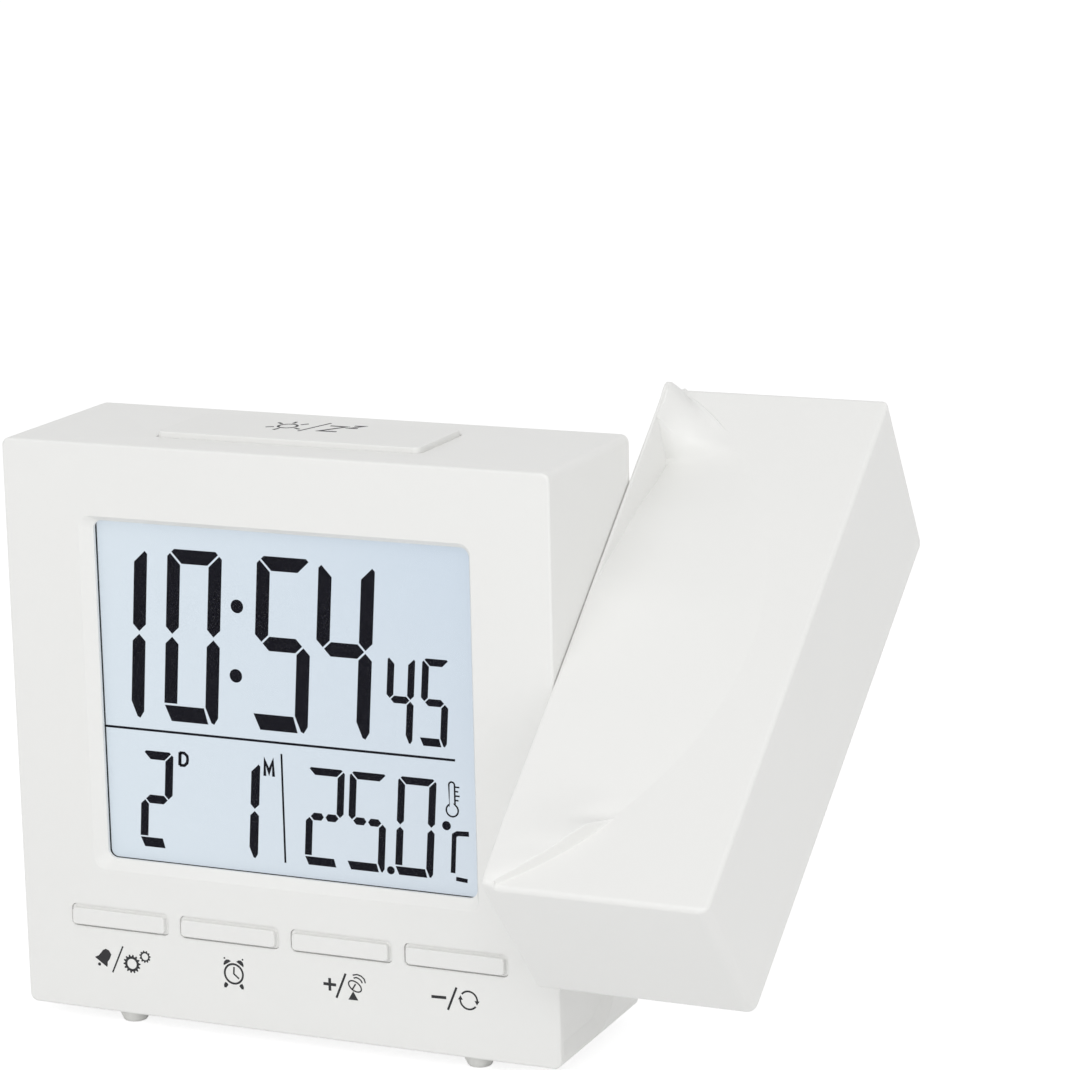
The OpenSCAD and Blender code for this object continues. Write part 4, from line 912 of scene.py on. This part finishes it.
# On the bar a sun and two z
sunMiddle, sunRound = (-4.85, 1.7), 1.4
sun = arcPoints(*sunMiddle, sunRound, steps=32)
barSigns = [bandZ(sideStep(sun, 0.19, True), sideStep(sun, -0.19, True), signLow, signHigh)]
for turn in (141, 93, 46, -32, -104, -151):
    a = math.radians(turn)
    ray = [(sunMiddle[0] + r * math.cos(a), sunMiddle[1] + r * math.sin(a)) for r in (2.0, 3.2)]
    barSigns.append(barLine(ray, 0.42))
barSigns += [barLine([(-1.73, -1.24), (0.27, 5.47)], 0.34),
             barLine([(1.05, 3.66), (3.7, 3.58), (1.1, -0.2), (3.85, -0.12)], 0.5),
             barLine([(4.5, 4.5), (6.0, 4.72), (4.45, 2.75), (5.75, 2.95)], 0.42)]
dress(makePiece("barSigns", joinShapes(barSigns), smooth=False), "snooze_bar", "button_white", finish=printInk)
print("buttons and signs ready")

# Arm: one skin lofted from its left edge to its right side, with the leaf, the scoop and the ribs in it
arm = {
    "pivot": (43.0, 1.5, 48.0), "tilt": 54.3, "front": 14.0, "low": -40.5, "high": 51.9, "backHigh": 15.2,
    "topBack": 50.6, "backLow": 13.1, "lowBack": -37.8, "left": 0.1, "right": 31.9, "frontCorner": 0.8,
    "backCorner": 1.6, "leftRound": 0.12, "frontRound": 0.75, "endRound": 1.5, "backRound": 1.4,
    "ribWide": 0.5, "ribSide": ((0.68, 0), (0.82, 0.04), (0.94, 0.15), (1.0, 0.35)),  # share of width, fall
    "scoopRound": 3.4, "scoopWall": (39.6, 1.8), "scoopTurn": (38, 4),  # start along the arm, length
    "leafReach": 5.0, "leafGap": 0.06, "leafEnd": 0.12, "flatEnd": 2.2,
    "leafStep": ((-0.1, 1.0), (0.0, 0.97), (0.1, 0.82), (0.22, 0.35), (0.32, 0.08), (0.42, 0.0)),  # x, share
    "hollow": [(-12.2, -38.7), (-12.2, 22), (-9.4, 30), (-9.4, 43), (-12.2, 45), (-12.2, 50.1), (13.4, 48.8),
               (11.3, -36.0)],
    "hollowAcross": (-1, 30.1),
    "beamX": 16.45,
    "beamHole": ((10.05, 45), (10.05, 51.0), (10.15, 51.2), (10.6, 53)),  # radius, place along the arm
}
leafArc = {"x": -30.4, "z": 5.25, "r": 55.2, "least": 0.95}
leafEdge = {"stepped": -32, "high": 2.25, "over": 10, "end": 20}
ridgeLine = [(-40.5, 0.9), (-39, 1.3), (-29.4, 2.1), (-6.7, 2.8), (2.8, 3.3), (30, 4.9), (44.2, 5.7),
             (46.6, 6.15), (47.8, 5.85), (51.0, 0.2), (51.9, 0.0)]
scoopLine = [(9, 3.64), (11.7, 3.5), (15.6, 2.75), (20.1, 1.7), (24.5, 0.9), (28.9, -0.1), (34.1, -1.8),
             (37, -2.6), (39.3, -3.0), (40.3, -1.6), (41.2, 0.4), (43, 2.7), (45, 4.7), (46.8, 5.8)]
stepLine = [(-40.5, 0.4), (-39.5, 0.8), (-37.7, 1.25), (-36, 1.65), (-34, 1.7), (-33, 2.05), (-32, 2.25),
            (-31, 2.15), (-29.9, 2.05), (-28.9, 1.4), (-27.8, 0.45), (-27.0, 0.0), (43.5, 0.0), (46.0, 0.45),
            (48.5, 0.35), (50.0, 0.0), (51.9, 0.0)]


def smoothStep(v):
    v = max(0.0, min(1.0, v))
    return v * v * (3 - 2 * v)


def along(line, z):
    if z <= line[0][0]:
        return line[0][1]
    for (za, va), (zb, vb) in zip(line, line[1:]):
        if z <= zb:
            return va + (vb - va) * (z - za) / (zb - za)
    return line[-1][1]


def softAlong(line, z, reach):
    return sum(along(line, z + reach * k / 2) for k in (-2, -1, 0, 1, 2)) / 5


def onArm(x, y, z):
    a = math.radians(arm["tilt"])
    px, py, pz = arm["pivot"]
    return (px + x, py + y * math.cos(a) + z * math.sin(a), pz - y * math.sin(a) + z * math.cos(a))


def arcX(z):  # outer edge of the leaf
    rest = leafArc["r"] ** 2 - (z - leafArc["z"]) ** 2
    return max(leafArc["least"], leafArc["x"] + math.sqrt(max(rest, 0)))


def ridgeHeight(z):
    return max(softAlong(ridgeLine, z, 0.6), 0.15)


def floorHeight(z):
    if z < scoopLine[0][0] or z > scoopLine[-1][0]:
        return ridgeHeight(z)
    return min(softAlong(scoopLine, z, 0.6), ridgeHeight(z))


def edgeHeight(z):  # how high the leaf stands near its outer edge
    if z < leafEdge["stepped"]:
        return softAlong(stepLine, z, 0.3)
    fade = 1 - smoothStep((z - leafEdge["stepped"]) / leafEdge["over"])
    return leafEdge["high"] * fade if z < leafEdge["end"] else 0.0


leafColumns = [0.0, 0.03, 0.08, 0.15, 0.25, 0.36, 0.48, 0.6, 0.7, 0.78, 0.85, 0.91, 0.96]
flatColumns = [0.06, 0.2, 0.4, 0.6, 0.8, 1.0]


def armColumns(z):  # (x, height over the front) from the left edge to the right round
    ridge, floorLevel, edge, left = ridgeHeight(z), floorHeight(z), arcX(z), arm["left"]
    step, slow = softAlong(stepLine, z, 0.3), edgeHeight(z)
    drop = ridge - floorLevel
    wallFall = arm["ribSide"][-1][1]
    roof = ridge - min(wallFall, drop)

    rib = min(arm["ribWide"], 0.45 * (edge - left))
    r = rib * 0.5
    columns = []
    for u in (0.0, 0.12, 0.35, 0.65, 1.0):
        columns.append((left + u * r, ridge - r + math.sqrt(max(r * r - (r - u * r) ** 2, 0))))
    for share, fall in arm["ribSide"]:
        columns.append((left + rib * share, ridge - min(fall, drop)))
    wallStart, wallOver = arm["scoopWall"]
    filled = smoothStep((z - wallStart) / wallOver) * drop
    columns.append((left + rib + 0.02, min(roof, floorLevel + max(0, drop - wallFall) * 0.06 + filled)))

    start = left + rib + arm["leafGap"]
    slopeEnd = max(start + 0.05, edge - arm["leafEnd"])
    reach = min(arm["leafReach"], 0.5 * (slopeEnd - start))
    turnStart, turnOver = arm["scoopTurn"]
    for s in leafColumns:
        x = start + (slopeEnd - start) * s
        fall = s if z < turnStart else s + (1 - (1 - s) ** 2 - s) * min(1, (z - turnStart) / turnOver)
        near = smoothStep((x - (slopeEnd - reach)) / reach)
        height = floorLevel * (1 - fall) + slow * fall + (step - slow) * near
        corner = filled * max(0, 1 - (x - start) / arm["scoopRound"]) ** 2
        columns.append((x, max(height, min(roof, height + corner))))

    tight = min(1.0, (slopeEnd - start) / 2)
    columns += [(edge + dx * tight, step * share) for dx, share in arm["leafStep"]]
    flatStart, flatEnd = columns[-1][0], arm["right"] - arm["flatEnd"]
    columns += [(flatStart + (flatEnd - flatStart) * s, 0.0) for s in flatColumns]
    return columns


rowCount = 129
rowParts = [k / (rowCount - 1) for k in range(rowCount)]
lowRow, highRow = arm["low"] + arm["frontCorner"], arm["high"] - arm["frontCorner"]
rowColumns = [armColumns(lowRow + (highRow - lowRow) * s) for s in rowParts]
columnCount = len(rowColumns[0])


def armCorner(y, z, r, start, stop, x0, x1):  # points round a corner, while x changes evenly
    points = []
    for k in range(7):
        a = math.radians(start + (stop - start) * k / 6)
        points.append((x0 + (x1 - x0) * (k / 6), y + r * math.cos(a), z + r * math.sin(a)))
    return points


def armLoop(frontXs, endX, backX, heights, insets):  # x of the front rows, of the ends and of the back
    near, end, far = insets
    ra = max(0.15, arm["frontCorner"] - 0.6 * max(near, end))
    rb = max(0.15, arm["backCorner"] - 0.8 * max(far, end))
    lowZ, highZ = arm["low"] + end + ra, arm["high"] - end - ra
    startZ, stopZ = arm["topBack"] - end - rb, arm["lowBack"] + end + rb
    frontY, topY, lowY = -arm["front"] + near, arm["backHigh"] - rb, arm["backLow"] - rb
    lowX, topX = (frontXs[0], frontXs[-1]) if endX is None else (endX, endX)
    backLow, backTop = (lowX, topX) if backX is None else (backX, backX)
    edgeY = -arm["front"] + ra

    loop = armCorner(frontY + ra - heights[0], lowZ, ra, 270, 190, lowX, frontXs[0])
    loop += [(x, -arm["front"] - height + near, lowZ + (highZ - lowZ) * s)
             for s, x, height in zip(rowParts, frontXs, heights)]
    loop += armCorner(frontY + ra - heights[-1], highZ, ra, 170, 90, frontXs[-1], topX)
    for k in range(1, 6):
        z = arm["high"] - (arm["high"] - arm["topBack"]) * k / 6
        loop.append((topX, edgeY + (topY - edgeY) * k / 6, z - end))
    loop += armCorner(topY - far, startZ, rb, 90, 0, topX, backTop)
    for k in range(1, 12):
        s = k / 12
        y = arm["backHigh"] + (arm["backLow"] - arm["backHigh"]) * s
        loop.append((backTop + (backLow - backTop) * s, y - far, startZ + (stopZ - startZ) * s))
    loop += armCorner(lowY - far, stopZ, rb, 0, -90, backLow, lowX)
    for k in range(1, 6):
        z = arm["lowBack"] + (arm["low"] - arm["lowBack"]) * k / 6
        loop.append((lowX, lowY + (edgeY - lowY) * k / 6, z + end))
    return [onArm(*p) for p in loop]


armLoops = []
leftRound = arm["leftRound"]
for column in range(columnCount):
    xs, heights = [row[column][0] for row in rowColumns], [row[column][1] for row in rowColumns]
    u = xs[0] - arm["left"]
    inset = leftRound - math.sqrt(max(leftRound ** 2 - (leftRound - u) ** 2, 0)) if u < leftRound else 0
    armLoops.append(armLoop(xs, None, None, heights, (0, inset, inset)))
rightRounds = [arm[key] for key in ("frontRound", "endRound", "backRound")]
for a in quarterTurn(8):
    frontX, endX, backX = [arm["right"] - r * (1 - math.sin(a)) for r in rightRounds]
    insets = [r * (1 - math.cos(a)) for r in rightRounds]
    armLoops.append(armLoop([frontX] * rowCount, endX, backX, [0] * rowCount, insets))
armShell = makePiece("armShell", loft(armLoops))

hollowInside = loft([[onArm(x, y, z) for y, z in arm["hollow"]] for x in arm["hollowAcross"]])
beamHole = loft([[onArm(arm["beamX"] + x, y, z) for x, y in arcPoints(0, 0, r)] for r, z in arm["beamHole"]])
carve(armShell, [hollowInside, beamHole], 32)
dress(armShell, "arm", "arm_white", ("arm_outer_shell",))
print("arm ready")


# The other pieces keep their CAD shapes, with softened edges
def soften(obj, width=0.15, angle=38):
    weld = obj.modifiers.new("weld", "WELD")
    weld.merge_threshold = 1e-6
    flat = obj.modifiers.new("flat", "DECIMATE")
    flat.decimate_type = "DISSOLVE"
    flat.angle_limit = math.radians(0.5)
    bevel = obj.modifiers.new("soft edges", "BEVEL")
    bevel.width = width / 1000
    bevel.segments = 2
    bevel.limit_method = "ANGLE"
    bevel.angle_limit = math.radians(angle)
    bevel.harden_normals = True
    weight = obj.modifiers.new("face weight", "WEIGHTED_NORMAL")
    weight.keep_sharp = True


softWidths = {
    "rear_cover": 0.2, "battery_door": 0.2, "feet": 0.2, "focus_ring": 0.2, "arm_inner_shell": 0.15,
    "dc_jack": 0.15, "lens_barrel": 0.12, "projection_slider": 0.12, "reset_button": 0.12,
    "housing_screws": 0.12, "arm_screws": 0.12,
}
slotOf = {entry["node"]: entry["material_slot"] for entry in frame["record"]["subparts"]}
for name, obj in cadNodes.items():
    obj.data.materials.clear()
    obj.data.materials.append(finishes[slotOf[name]])
    if name in softWidths:
        soften(obj, softWidths[name])
print("inner pieces ready")
